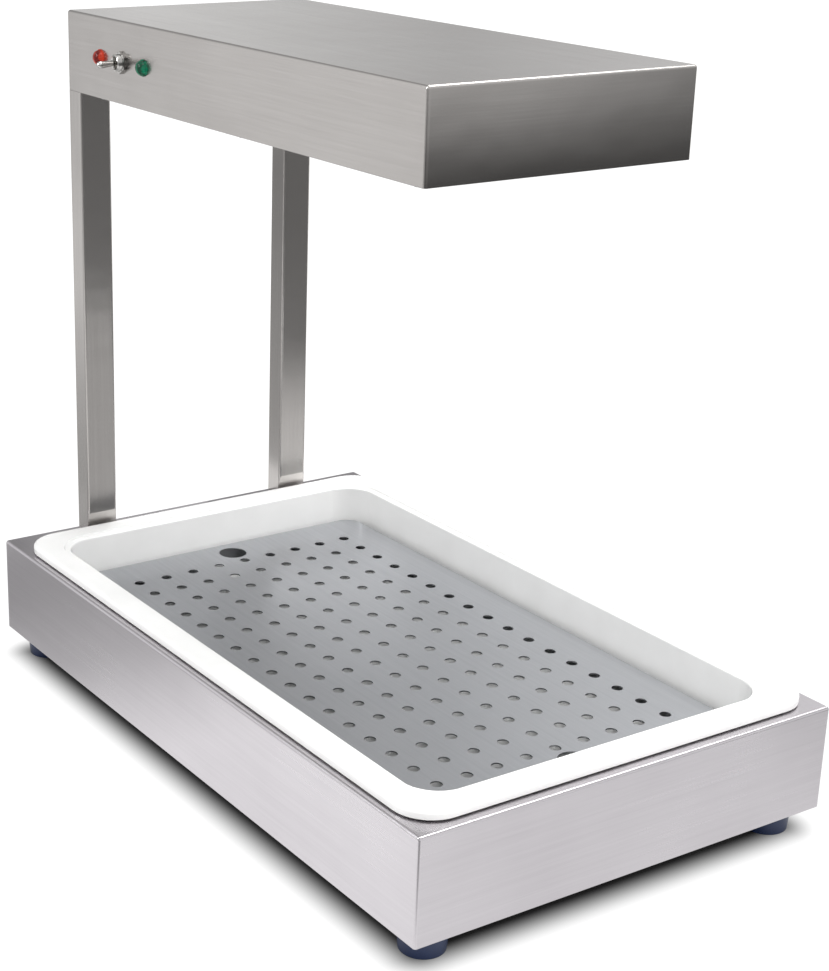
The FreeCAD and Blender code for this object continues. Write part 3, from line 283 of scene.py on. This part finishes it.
def turned(profile, start, axis, segments, shape=None, hollow=False):
    """Vertices and faces of a turned solid from (along, radius) points.

    A full solid starts and ends on its axis; a hollow one closes on itself. shape may change the
    radius at a distance along the axis and an angle round it.
    """
    to_axis = Z_AXIS.rotation_difference(Vector(axis)).to_matrix()
    vertices, rows = [], []
    for along, radius in profile:
        count = 1 if radius == 0 else segments
        rows.append(range(len(vertices), len(vertices) + count))
        for step in range(count):
            angle = 2 * math.pi * step / segments
            r = shape(along, angle, radius) if shape and radius else radius
            offset = Vector((r * math.cos(angle), r * math.sin(angle), along))
            vertices.append(start + to_axis @ offset)
    if hollow:
        rows.append(rows[0])
    faces = []
    for low, high in zip(rows, rows[1:]):
        for step in range(segments):
            after = (step + 1) % segments
            ring = [low[step % len(low)], low[after % len(low)],
                    high[after % len(high)], high[step % len(high)]]
            faces.append(list(dict.fromkeys(ring)))
    return vertices, faces


def joined(parts):
    """Several vertex and face lists as one."""
    vertices, faces = [], []
    for part_vertices, part_faces in parts:
        first = len(vertices)
        vertices.extend(part_vertices)
        faces.extend([[first + index for index in face] for face in part_faces])
    return vertices, faces


def piece(name, geometry, body, slot, replaces=()):
    """Mesh object from vertices and faces that rides on a body and wears a slot's look."""
    mesh = bpy.data.meshes.new(name)
    vertices, faces = geometry
    mesh.from_pydata([tuple(v) for v in vertices], [], faces)
    edit = bmesh.new()
    edit.from_mesh(mesh)
    bmesh.ops.recalc_face_normals(edit, faces=edit.faces)
    edit.to_mesh(mesh)
    edit.free()
    mesh.shade_smooth()
    mesh.set_sharp_from_angle(angle=SHARP_ANGLE)
    mesh.materials.append(LOOKS[slot])
    obj = bpy.data.objects.new(name, mesh)
    bpy.context.scene.collection.objects.link(obj)
    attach(obj, body)
    if replaces:
        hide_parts(*replaces)
    return obj


def node_box(node):
    """A CAD node's lowest and highest corners."""
    return (Vector(corner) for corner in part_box(node))


def thread(pitch, depth, crest):
    """Shape of a screw thread cut into the surface of radius crest."""
    def cut(along, angle, radius):
        if radius < crest - depth / 2:
            return radius
        phase = (along / pitch - angle / (2 * math.pi)) % 1.0
        return radius - depth * abs(2 * phase - 1)
    return cut


def hexagonal(apothem):
    """Shape of a hexagon nut whose flats lie at the apothem, inside the radius that chamfers it."""
    bore_limit = 0.99 * apothem

    def cut(_along, angle, radius):
        if radius <= bore_limit:
            return radius
        return min(radius, apothem / math.cos((angle % (math.pi / 3)) - math.pi / 6))
    return cut


def fluted(count, depth, crest):
    """Shape of round flutes down the outside of a grip."""
    def cut(_along, angle, radius):
        if radius < crest:
            return radius
        return radius - depth * abs(math.sin(count * angle / 2))
    return cut


# ---- Switch and pilot lamps ----

BUSHING_BORE_R = 3.7 * MM
BUSHING_MOUTH_R = 4.7 * MM
BUSHING_MOUTH_DEPTH = 3 * MM
BUSHING_EDGE = 0.5 * MM
BUSHING_PITCH = 0.9 * MM
BUSHING_THREAD_DEPTH = 0.32 * MM
BUSHING_THREAD_STEP = 0.09 * MM
SWITCH_NUT_BORE_R = 5.95 * MM
SWITCH_NUT_CHAMFER = 0.4 * MM

LENS_COLLAR = 0.9 * MM
LENS_DOME_SHARE = 0.92        # the dome's radius, as a share of the collar's
LENS_DOME_STEPS = 14
LENS_FLUTES = 12
LENS_FLUTE_DEPTH = 0.06       # as a share of the dome's radius


def side_start(low, high):
    """Where a control on the hood's switch side starts: the middle of its inner end."""
    return Vector((high.x, (low.y + high.y) / 2, (low.z + high.z) / 2))


def switch_bushing_piece():
    """Threaded bushing with a rounded mouth."""
    low, high = node_box("switch_bushing")
    radius = (high.z - low.z) / 2
    length = high.x - low.x
    edge = BUSHING_EDGE
    threaded = length - 2 * edge
    steps = int(threaded / BUSHING_THREAD_STEP)
    rows = [(0, BUSHING_BORE_R), (0, radius - edge)]
    rows += [(edge + threaded * step / steps, radius) for step in range(steps + 1)]
    rows += [(length, radius - 2 * edge), (length, BUSHING_MOUTH_R + edge / 2),
             (length - edge, BUSHING_MOUTH_R), (length - BUSHING_MOUTH_DEPTH, BUSHING_BORE_R)]
    shape = thread(BUSHING_PITCH, BUSHING_THREAD_DEPTH, radius)
    geometry = turned(rows, side_start(low, high), OUT, segments=60, shape=shape, hollow=True)
    return piece("bushing_thread", geometry, "warmer", "switch_chrome", ["switch_bushing"])


def nut_geometry(node, axis, bore, chamfer):
    """Chamfered hexagon nut in the place of a CAD nut, along an axis."""
    low, high = node_box(node)
    thickness = abs((high - low).dot(axis))
    across = min(size for size, part in zip(high - low, axis) if abs(part) < 0.5)
    apothem = across / 2
    corner = apothem / math.cos(math.pi / 6)
    start = (low + high) / 2 - axis * thickness / 2
    rows = [(0, bore + chamfer / 2), (0, apothem), (chamfer, corner), (thickness - chamfer, corner),
            (thickness, apothem), (thickness, bore + chamfer / 2), (thickness - chamfer / 2, bore),
            (chamfer / 2, bore)]
    return turned(rows, start, axis, segments=72, shape=hexagonal(apothem), hollow=True)


def lens_piece(colour):
    """Fluted dome with a plain collar."""
    node = colour + "_pilot_lens"
    low, high = node_box(node)
    radius = (high.z - low.z) / 2
    out = high.x - low.x
    collar = LENS_COLLAR
    dome_r = radius * LENS_DOME_SHARE
    rows = [(0, 0), (0, radius), (collar * 0.7, radius), (collar, radius * 0.97), (collar, dome_r)]
    for step in range(1, LENS_DOME_STEPS + 1):
        angle = math.pi / 2 * step / LENS_DOME_STEPS
        rows.append((collar + (out - collar) * math.sin(angle), dome_r * math.cos(angle)))
    rows[-1] = (out, 0)

    def flutes(along, angle, radius_here):
        if along <= collar * 1.01:
            return radius_here
        depth = LENS_FLUTE_DEPTH * radius_here / dome_r
        return radius_here * (1 - depth * math.sin(LENS_FLUTES / 2 * angle) ** 2)

    geometry = turned(rows, side_start(low, high), OUT, segments=96, shape=flutes)
    return piece(colour + "_lens_dome", geometry, "warmer", colour + "_lens", [node])


# ---- Screws ----

HEAD_SEGMENTS = 64
RECESS_RINGS = 16
RECESS_DEPTH = 0.55           # as a share of the head's height
RECESS_ARM = 0.13             # half the width of the cross's arms, as a share of the head's radius
RECESS_REACH = 0.58           # length of the arms, as a share of it
RECESS_SIDE = 0.05            # width over which the arms' sides slope, as a share of it
RECESS_END = 0.2              # length over which the arms' ends slope, as a share of it
CROWN = 0.16                  # how far the head's edge drops, as a share of its height
PANEL_HEAD_H = 1.8 * MM
FOOT_HEAD_H = 3.0 * MM
SHANK_SHARE = 0.52            # the shank's radius, as a share of the head's
SHANK_STEP = 0.2 * MM
SHANK_PITCH = 0.8 * MM
SHANK_THREAD_DEPTH = 0.12     # as a share of the shank's radius
SAME_POINT_DIGITS = 7
SAME_PLACE_DIGITS = 5


def cross_recess(r, angle, head_r):
    """Depth of a cross recess, from 0 to 1, at a place on a screw's head."""
    arm_half = RECESS_ARM * head_r
    reach = RECESS_REACH * head_r
    x, y = abs(r * math.cos(angle)), abs(r * math.sin(angle))
    near, far = min(x, y), max(x, y)
    side = max(0.0, min(1.0, (arm_half - near) / (RECESS_SIDE * head_r) + 0.5))
    end = max(0.0, min(1.0, (reach - far) / (RECESS_END * head_r)))
    return side * end


def screw_head(seat, direction, head_r, head_h):
    """Pan head with a cross recess, standing on the seat along the direction."""
    turn = Z_AXIS.rotation_difference(Vector(direction)).to_matrix()
    angles = [2 * math.pi * k / HEAD_SEGMENTS for k in range(HEAD_SEGMENTS)]
    outline = [(0, head_r * 0.98), (head_h * 0.45, head_r), (head_h * 0.7, head_r * 0.96)]
    rows = [[point] * HEAD_SEGMENTS for point in outline]
    for ring in range(RECESS_RINGS, -1, -1):
        r = head_r * 0.9 * ring / RECESS_RINGS
        crown = head_h * (1 - CROWN * (r / head_r) ** 2)
        rows.append([(crown - RECESS_DEPTH * head_h * cross_recess(r, angle, head_r), r)
                     for angle in angles])
    *rings, centre = rows
    vertices = []
    for row in rings:
        for angle, (along, radius) in zip(angles, row):
            offset = Vector((radius * math.cos(angle), radius * math.sin(angle), along))
            vertices.append(seat + turn @ offset)
    tip = len(vertices)
    vertices.append(seat + turn @ Vector((0, 0, centre[0][0])))
    base = len(vertices)
    vertices.append(seat)
    faces = []
    for row in range(len(rings) - 1):
        low, high = row * HEAD_SEGMENTS, (row + 1) * HEAD_SEGMENTS
        for k in range(HEAD_SEGMENTS):
            after = (k + 1) % HEAD_SEGMENTS
            faces.append([low + k, low + after, high + after, high + k])
    last = (len(rings) - 1) * HEAD_SEGMENTS
    for k in range(HEAD_SEGMENTS):
        after = (k + 1) % HEAD_SEGMENTS
        faces.append([last + k, last + after, tip])
        faces.append([after, k, base])
    return vertices, faces


def islands(node):
    """Boxes of a CAD node's separate solids, as (low, high) corners."""
    mesh = NODES[node].data
    parent = list(range(len(mesh.vertices)))

    def root(index):
        while parent[index] != index:
            parent[index] = parent[parent[index]]
            index = parent[index]
        return index

    keys = {}
    for index, vertex in enumerate(mesh.vertices):
        key = tuple(round(value, SAME_POINT_DIGITS) for value in vertex.co)
        if key in keys:
            parent[root(index)] = root(keys[key])
        keys.setdefault(key, index)
    for edge in mesh.edges:
        first, second = edge.vertices
        parent[root(first)] = root(second)
    groups = {}
    for index, vertex in enumerate(mesh.vertices):
        groups.setdefault(root(index), []).append(vertex.co)
    boxes = []
    for points in groups.values():
        low = Vector([min(p[axis] for p in points) for axis in range(3)])
        high = Vector([max(p[axis] for p in points) for axis in range(3)])
        boxes.append((low, high))
    return sorted(boxes, key=lambda box: tuple(round(value, SAME_PLACE_DIGITS) for value in box[0]))


def panel_screws(name, node, head_h):
    """Screws whose heads hang below a flat sheet: cross-recessed heads over threaded shanks."""
    parts = []
    for low, high in islands(node):
        centre = (low + high) / 2
        head_r = (high.x - low.x) / 2
        seat = Vector((centre.x, centre.y, low.z + head_h))
        shank_r = head_r * SHANK_SHARE
        length = high.z - seat.z
        parts.append(screw_head(seat, -Z_AXIS, head_r, head_h))
        steps = int(length / SHANK_STEP)
        rows = [(0, 0), (0, shank_r)]
        rows += [(length * 0.9 * step / steps, shank_r) for step in range(1, steps + 1)]
        rows += [(length, shank_r * 0.6), (length, 0)]
        shape = thread(SHANK_PITCH, SHANK_THREAD_DEPTH * shank_r, shank_r)
        parts.append(turned(rows, seat, Z_AXIS, segments=24, shape=shape))
    return piece(name, joined(parts), "warmer", "zinc_steel", [node])


# ---- Lamps, guard and gland ----

COIL_WIRE_R = 0.2 * MM
COIL_CLEARANCE = 0.45 * MM    # from the coil's middle line to the CAD rod's surface
COIL_PITCH = 1.3 * MM
COIL_LEAD = 6 * MM
COIL_STEPS = 12               # points in one turn

GLAND_HEX_T = 5 * MM
GLAND_BORE_R = 5.5 * MM
GLAND_CAP_R = 8.4 * MM
GLAND_EDGE = 0.6 * MM
GLAND_RIBS = 16
GLAND_RIB_DEPTH = 0.6 * MM
GLAND_THREAD_R = 7 * MM
GLAND_THREAD_STEP = 0.15 * MM
GLAND_PITCH = 1.2 * MM
GLAND_THREAD_DEPTH = 0.5 * MM

GUARD_WIRE_R = 1.0 * MM
GUARD_BARS = 15
GUARD_LONG_WIRES = (-67 * MM, 0.0, 67 * MM)
WELD_PROFILE = [(-0.45 * MM, 0), (-0.3 * MM, 0.75 * MM), (0, 0.95 * MM), (0.3 * MM, 0.75 * MM),
                (0.45 * MM, 0)]


def filament_coil(name, node):
    """Fine coil along the middle of a lamp's tube, with a straight lead at each end."""
    low, high = node_box(node)
    centre = (low + high) / 2
    coil_r = (high.x - low.x) / 2 - COIL_CLEARANCE
    length = high.y - low.y - 2 * COIL_LEAD
    steps = int(length / COIL_PITCH) * COIL_STEPS
    path = [Vector((centre.x, low.y, centre.z))]
    for step in range(steps + 1):
        angle = 2 * math.pi * step / COIL_STEPS
        path.append(Vector((centre.x + coil_r * math.cos(angle),
                            low.y + COIL_LEAD + length * step / steps,
                            centre.z + coil_r * math.sin(angle))))
    path.append(Vector((centre.x, high.y, centre.z)))
    return piece(name, tube(path, COIL_WIRE_R, sides=6), "warmer", "tungsten", [node])


def tube(path, radius, sides):
    """Closed round tube along a path of points."""
    vertices, faces = [], []
    count = len(path)
    for index, point in enumerate(path):
        ahead = (path[min(index + 1, count - 1)] - path[max(index - 1, 0)]).normalized()
        turn = Z_AXIS.rotation_difference(ahead).to_matrix()
        for side in range(sides):
            angle = 2 * math.pi * side / sides
            offset = Vector((radius * math.cos(angle), radius * math.sin(angle), 0))
            vertices.append(point + turn @ offset)
    for index in range(count - 1):
        for side in range(sides):
            after = (side + 1) % sides
            faces.append([index * sides + side, index * sides + after, (index + 1) * sides + after,
                          (index + 1) * sides + side])
    faces.append(list(range(sides - 1, -1, -1)))
    faces.append([(count - 1) * sides + side for side in range(sides)])
    return vertices, faces


def gland_piece():
    """Cord gland: hexagon base, ribbed dome nut and the thread through the wall."""
    low, high = node_box("cord_gland")
    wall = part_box("hood_shell")[1][1]
    start = Vector(((low.x + high.x) / 2, wall, (low.z + high.z) / 2))
    apothem = (high.x - low.x) / 2
    corner = apothem / math.cos(math.pi / 6)
    out = high.y - wall
    bore, hex_t, cap_r, edge = GLAND_BORE_R, GLAND_HEX_T, GLAND_CAP_R, GLAND_EDGE
    rows = [(0, bore), (0, apothem), (edge, corner), (hex_t - edge, corner), (hex_t, apothem),
            (hex_t, bore)]
    hexagon = turned(rows, start, Y_AXIS, segments=72, shape=hexagonal(apothem), hollow=True)
    dome = out - hex_t
    rows = [(hex_t, bore), (hex_t, cap_r), (hex_t + 0.5 * dome, cap_r - 0.5 * edge),
            (hex_t + 0.8 * dome, cap_r - 2 * edge), (out - 0.3 * edge, bore + 2 * edge),
            (out, bore + edge), (out, bore)]
    ribs = fluted(GLAND_RIBS, GLAND_RIB_DEPTH, cap_r - edge)
    cap = turned(rows, start, Y_AXIS, segments=96, shape=ribs, hollow=True)
    length = wall - low.y
    steps = int(length / GLAND_THREAD_STEP)
    rows = [(length * step / steps, GLAND_THREAD_R) for step in range(steps + 1)]
    rows = [(0, bore), *rows, (length, bore)]
    shape = thread(GLAND_PITCH, GLAND_THREAD_DEPTH, GLAND_THREAD_R)
    shank = turned(rows, start, -Y_AXIS, segments=48, shape=shape, hollow=True)
    return piece("gland_body", joined([hexagon, cap, shank]), "warmer", "gland_nylon",
                 ["cord_gland"])


def weld_nuggets():
    """Small flattened beads where the guard's cross wires are welded to its long wires."""
    low, high = node_box("wire_guard")
    level = low.z + 2 * GUARD_WIRE_R
    first = low.y + 2 * GUARD_WIRE_R
    step = (high.y - low.y - 4 * GUARD_WIRE_R) / (GUARD_BARS - 1)
    parts = [turned(WELD_PROFILE, Vector((x, first + index * step, level)), Z_AXIS, segments=16)
             for x in GUARD_LONG_WIRES for index in range(GUARD_BARS)]
    return piece("guard_welds", joined(parts), "warmer", "guard_wire")


def add_details():
    """Every detail piece, in place of the plain node that it stands for."""
    switch_bushing_piece()
    piece("switch_hex_nut", nut_geometry("switch_nut", OUT, SWITCH_NUT_BORE_R, SWITCH_NUT_CHAMFER),
          "warmer", "switch_chrome", ["switch_nut"])
    for colour in ("red", "green"):
        lens_piece(colour)
    panel_screws("hood_cross_screws", "hood_panel_screws", PANEL_HEAD_H)
    panel_screws("guard_cross_screws", "guard_screws", PANEL_HEAD_H)
    panel_screws("base_cross_screws", "bottom_plate_screws", PANEL_HEAD_H)
    panel_screws("foot_cross_screws", "foot_screws", FOOT_HEAD_H)
    for side in ("left", "right"):
        filament_coil("coil_" + side, "lamp_filament_" + side)
    gland_piece()
    weld_nuggets()


dress_nodes()
add_details()


# ---- Camera and light ----

CAMERA_PLACE = (-0.7705, -1.0675, 0.6501)
CAMERA_FORWARD = (0.5125, 0.7897, -0.3373)
CAMERA_UP = (0.1702, 0.2916, 0.9413)
CAMERA_LENS = 72.67
CAMERA_SENSOR = 36.0
CAMERA_SHIFT = (0.133, 0.0128)

PAINTED_SHADOW_WIDTH = 32 * MM          # width of the painted shadow's soft border in the floor's glow
PAINTED_SHADOW_SIDE_END = 14 * MM       # where the painted shadow has gone, out from the base's sides
PAINTED_SHADOW_FRONT_END = 11 * MM      # and out from its front and back
FLOOR_REACH = 30.0
WORLD_STRENGTH = 0.95
WHITE = (1.0, 1.0, 1.0, 1.0)


def add_camera():
    """Three-quarter view from the front left and a little above."""
    data = bpy.data.cameras.new("camera")
    data.lens = CAMERA_LENS
    data.sensor_width = CAMERA_SENSOR
    data.shift_x, data.shift_y = CAMERA_SHIFT
    data.clip_start = 0.01
    data.clip_end = 200.0
    camera = bpy.data.objects.new("camera", data)
    bpy.context.scene.collection.objects.link(camera)
    forward = Vector(CAMERA_FORWARD).normalized()
    right = forward.cross(Vector(CAMERA_UP).normalized()).normalized()
    up = right.cross(forward)
    turn = Matrix((right, up, -forward)).transposed()
    camera.matrix_world = Matrix.Translation(CAMERA_PLACE) @ turn.to_4x4()
    bpy.context.scene.camera = camera


def add_world():
    """Even white surroundings."""
    world = bpy.data.worlds.new("studio")
    world.use_nodes = True
    background = world.node_tree.nodes["Background"]
    background.inputs["Color"].default_value = WHITE
    background.inputs["Strength"].default_value = WORLD_STRENGTH
    bpy.context.scene.world = world


def add_sun(name, direction, strength, angle, reflected=True):
    """Broad soft light from one direction, seen in the steel's reflections or not."""
    data = bpy.data.lights.new(name, "SUN")
    data.energy = strength
    data.angle = math.radians(angle)
    sun = bpy.data.objects.new(name, data)
    sun.visible_glossy = reflected
    sun.rotation_mode = "QUATERNION"
    sun.rotation_quaternion = Vector(direction).to_track_quat("Z", "Y")
    bpy.context.scene.collection.objects.link(sun)


def add_floor():
    """Glowing floor, white all round, with a painted shadow under the base where its glow fades."""
    # Nearly black floor made white by its own glow
    look = Look("floor", (0.03, 0.03, 0.03), 0.8, Emission_Color=WHITE)
    place = look.node("ShaderNodeTexCoord").outputs["Object"]
    parts = look.node("ShaderNodeSeparateXYZ", {0: place}).outputs
    low, high = node_box("base_shell")
    half = (high - low) / 2
    from_middle = look.math("SUBTRACT", parts["Y"], (low.y + high.y) / 2)
    squares = []
    for offset, core in ((parts["X"], half.x + PAINTED_SHADOW_SIDE_END - PAINTED_SHADOW_WIDTH),
                         (from_middle, half.y + PAINTED_SHADOW_FRONT_END - PAINTED_SHADOW_WIDTH)):
        past = look.math("SUBTRACT", look.math("ABSOLUTE", offset), core)
        squares.append(look.math("POWER", look.math("MAXIMUM", past, 0.0), 2.0))
    # Painted shadow: the floor's glow fades out towards the base's outline and is nothing under it
    distance = look.math("SQRT", look.math("ADD", *squares))
    look.feed("Emission Strength", look.spread(distance, 0.0, 1.0, 0.0, PAINTED_SHADOW_WIDTH, "SMOOTHSTEP"))
    sheet("floor", (-FLOOR_REACH, -FLOOR_REACH, 0.0), (FLOOR_REACH, FLOOR_REACH, 0.0), look.material)


def sheet(name, low, high, material):
    """Flat staged rectangle, square to the axes, between its lowest and highest corners."""
    flat = next(axis for axis in range(3) if low[axis] == high[axis])
    across, up = (axis for axis in range(3) if axis != flat)
    corners = [list(low), list(low), list(high), list(low)]
    corners[1][across] = high[across]
    corners[3][up] = high[up]
    mesh = bpy.data.meshes.new(name)
    mesh.from_pydata(corners, [], [(0, 1, 2, 3)])
    mesh.materials.append(material)
    obj = bpy.data.objects.new(name, mesh)
    bpy.context.scene.collection.objects.link(obj)
    return obj


def card_material(name, stops, along, strength):
    """Glow with a soft gradient of grey and of how solid it is, along one axis."""
    material = bpy.data.materials.new(name)
    material.use_nodes = True
    tree = material.node_tree
    tree.nodes.clear()
    place = tree.nodes.new("ShaderNodeTexCoord").outputs["Object"]
    parts = tree.nodes.new("ShaderNodeSeparateXYZ")
    tree.links.new(place, parts.inputs[0])
    low, high = stops[0][0], stops[-1][0]
    ranged = tree.nodes.new("ShaderNodeMapRange")
    ranged.inputs["From Min"].default_value = low
    ranged.inputs["From Max"].default_value = high
    tree.links.new(parts.outputs[along], ranged.inputs["Value"])
    ramp = tree.nodes.new("ShaderNodeValToRGB")
    points = ramp.color_ramp.elements
    for at, _grey, _solid in stops[1:-1]:
        points.new((at - low) / (high - low))
    for point, (_at, grey, solid) in zip(points, stops):
        point.color = (grey, grey, grey, solid)
    tree.links.new(ranged.outputs["Result"], ramp.inputs["Fac"])
    glow = tree.nodes.new("ShaderNodeEmission")
    glow.inputs["Strength"].default_value = strength
    tree.links.new(ramp.outputs["Color"], glow.inputs["Color"])
    clear = tree.nodes.new("ShaderNodeBsdfTransparent")
    mixed = tree.nodes.new("ShaderNodeMixShader")
    tree.links.new(ramp.outputs["Alpha"], mixed.inputs[0])
    tree.links.new(clear.outputs[0], mixed.inputs[1])
    tree.links.new(glow.outputs[0], mixed.inputs[2])
    output = tree.nodes.new("ShaderNodeOutputMaterial")
    tree.links.new(mixed.outputs[0], output.inputs["Surface"])
    return material


CARD_LEVEL = 2 * MM           # the floor cards' height over the floor
REAR_CARD_LEVEL = 3 * MM      # one floor card lies higher where two overlap

# Name, lowest corner, highest corner, the gradient's axis, strength, and its stops. A stop is a
# place along the axis, the card's grey there and how solid it is.
CARDS = [
    ("front_card", (-0.60, -0.30, 0.10), (0.85, -0.30, 0.60), "Z", 1.0,
     [(0.10, 0.25, 0.0), (0.13, 0.20, 0.95), (0.20, 0.19, 0.95), (0.35, 0.17, 0.95),
      (0.40, 0.03, 0.95), (0.418, 0.03, 0.95), (0.438, 0.22, 0.95), (0.465, 0.52, 0.95),
      (0.60, 0.6, 0.0)]),
    ("front_shade_card", (0.05, -0.298, 0.39), (0.60, -0.298, 0.60), "X", 1.0,
     [(0.05, 0.08, 0.0), (0.22, 0.08, 0.45), (0.40, 0.08, 0.45), (0.60, 0.08, 0.0)]),
    ("left_toe_card", (-0.14, 0.20, 0.10), (-0.02, 0.20, 0.29), "Z", 1.0,
     [(0.10, 0.64, 0.95), (0.21, 0.62, 0.95), (0.27, 0.5, 0.0)]),
    ("right_toe_card", (0.04, 0.20, 0.10), (0.18, 0.20, 0.21), "Z", 1.0,
     [(0.10, 0.90, 0.95), (0.14, 0.84, 0.95), (0.21, 0.6, 0.0)]),
    ("between_posts_card", (0.02, 0.27, 0.08), (0.02, 0.62, 0.44), "Z", 1.0,
     [(0.08, 0.55, 0.95), (0.20, 0.42, 0.95), (0.35, 0.30, 0.95), (0.44, 0.45, 0.95)]),
    ("lens_light", (-1.0, 0.20, 0.6), (-1.0, 0.36, 1.2), "Y", 24.0,
     [(0.20, 1.0, 0.0), (0.24, 1.0, 1.0), (0.32, 1.0, 1.0), (0.36, 1.0, 0.0)]),
    ("right_floor_card", (0.32, -2.4, CARD_LEVEL), (2.4, 0.25, CARD_LEVEL), "X", 1.0,
     [(0.32, 0.2, 0.0), (0.42, 0.12, 0.9), (1.2, 0.2, 0.9), (2.4, 0.5, 0.0)]),
    ("front_floor_card", (-0.16, -0.9, CARD_LEVEL), (0.32, -0.29, CARD_LEVEL), "X", 1.0,
     [(-0.16, 1.0, 0.9), (-0.05, 0.95, 0.9), (0.2, 0.9, 0.9), (0.32, 0.7, 0.9)]),
    ("left_floor_card", (-2.4, -2.4, CARD_LEVEL), (-0.18, -0.32, CARD_LEVEL), "X", 1.0,
     [(-2.4, 0.5, 0.9), (-1.2, 0.3, 0.9), (-0.24, 0.25, 0.9), (-0.18, 0.4, 0.0)]),
    ("left_card", (-1.4, -1.6, 0.0), (-1.4, 0.9, 0.62), "Y", 1.0,
     [(-1.6, 0.4, 0.0), (-1.3, 0.4, 0.9), (0.3, 0.42, 0.9), (0.9, 0.6, 0.0)]),
    ("side_floor_card", (-0.6, -0.32, CARD_LEVEL), (-0.175, 0.6, CARD_LEVEL), "Y", 1.0,
     [(-0.32, 1.1, 0.9), (-0.2, 1.14, 0.95), (0.04, 1.15, 0.95), (0.11, 0.95, 0.95),
      (0.205, 0.60, 0.95), (0.34, 0.40, 0.95), (0.45, 0.35, 0.95), (0.6, 0.5, 0.0)]),
    ("rear_floor_card", (-2.4, 0.45, REAR_CARD_LEVEL), (-0.18, 2.0, REAR_CARD_LEVEL), "Y", 1.0,
     [(0.45, 0.35, 0.0), (0.60, 0.45, 0.9), (0.95, 0.7, 0.9), (1.3, 0.9, 0.9), (2.0, 0.95, 0.9)]),
    ("rear_card", (-3.0, 2.0, 0.0), (4.0, 2.0, 3.5), "X", 1.0,
     [(-3.0, 0.9, 0.95), (-1.3, 0.95, 0.95), (-0.97, 0.78, 0.95), (-0.6, 0.45, 0.95),
      (0.2, 0.3, 0.9), (0.9, 0.78, 1.0), (1.6, 0.52, 1.0), (4.0, 0.8, 0.0)]),
    ("low_rear_card", (0.0, 1.0, 0.2), (0.9, 1.0, 0.55), "Z", 1.0,
     [(0.20, 0.05, 0.95), (0.44, 0.08, 0.95), (0.55, 0.3, 0.0)]),
]


def add_cards():
    """Cards that show only in reflections and give the steel its dark and light faces."""
    for name, low, high, along, strength, stops in CARDS:
        card = sheet(name, low, high, card_material(name, stops, along, strength))
        for ray in ("camera", "diffuse", "shadow", "transmission", "volume_scatter"):
            setattr(card, "visible_" + ray, False)


add_camera()
add_world()
add_sun("overhead_light", (0.35, 0.0, 0.93), strength=2.8, angle=45.0)
add_sun("front_fill", (-0.45, -0.75, 0.75), strength=0.5, angle=40.0, reflected=False)
add_floor()
add_cards()
bpy.context.scene.view_settings.view_transform = "Standard"
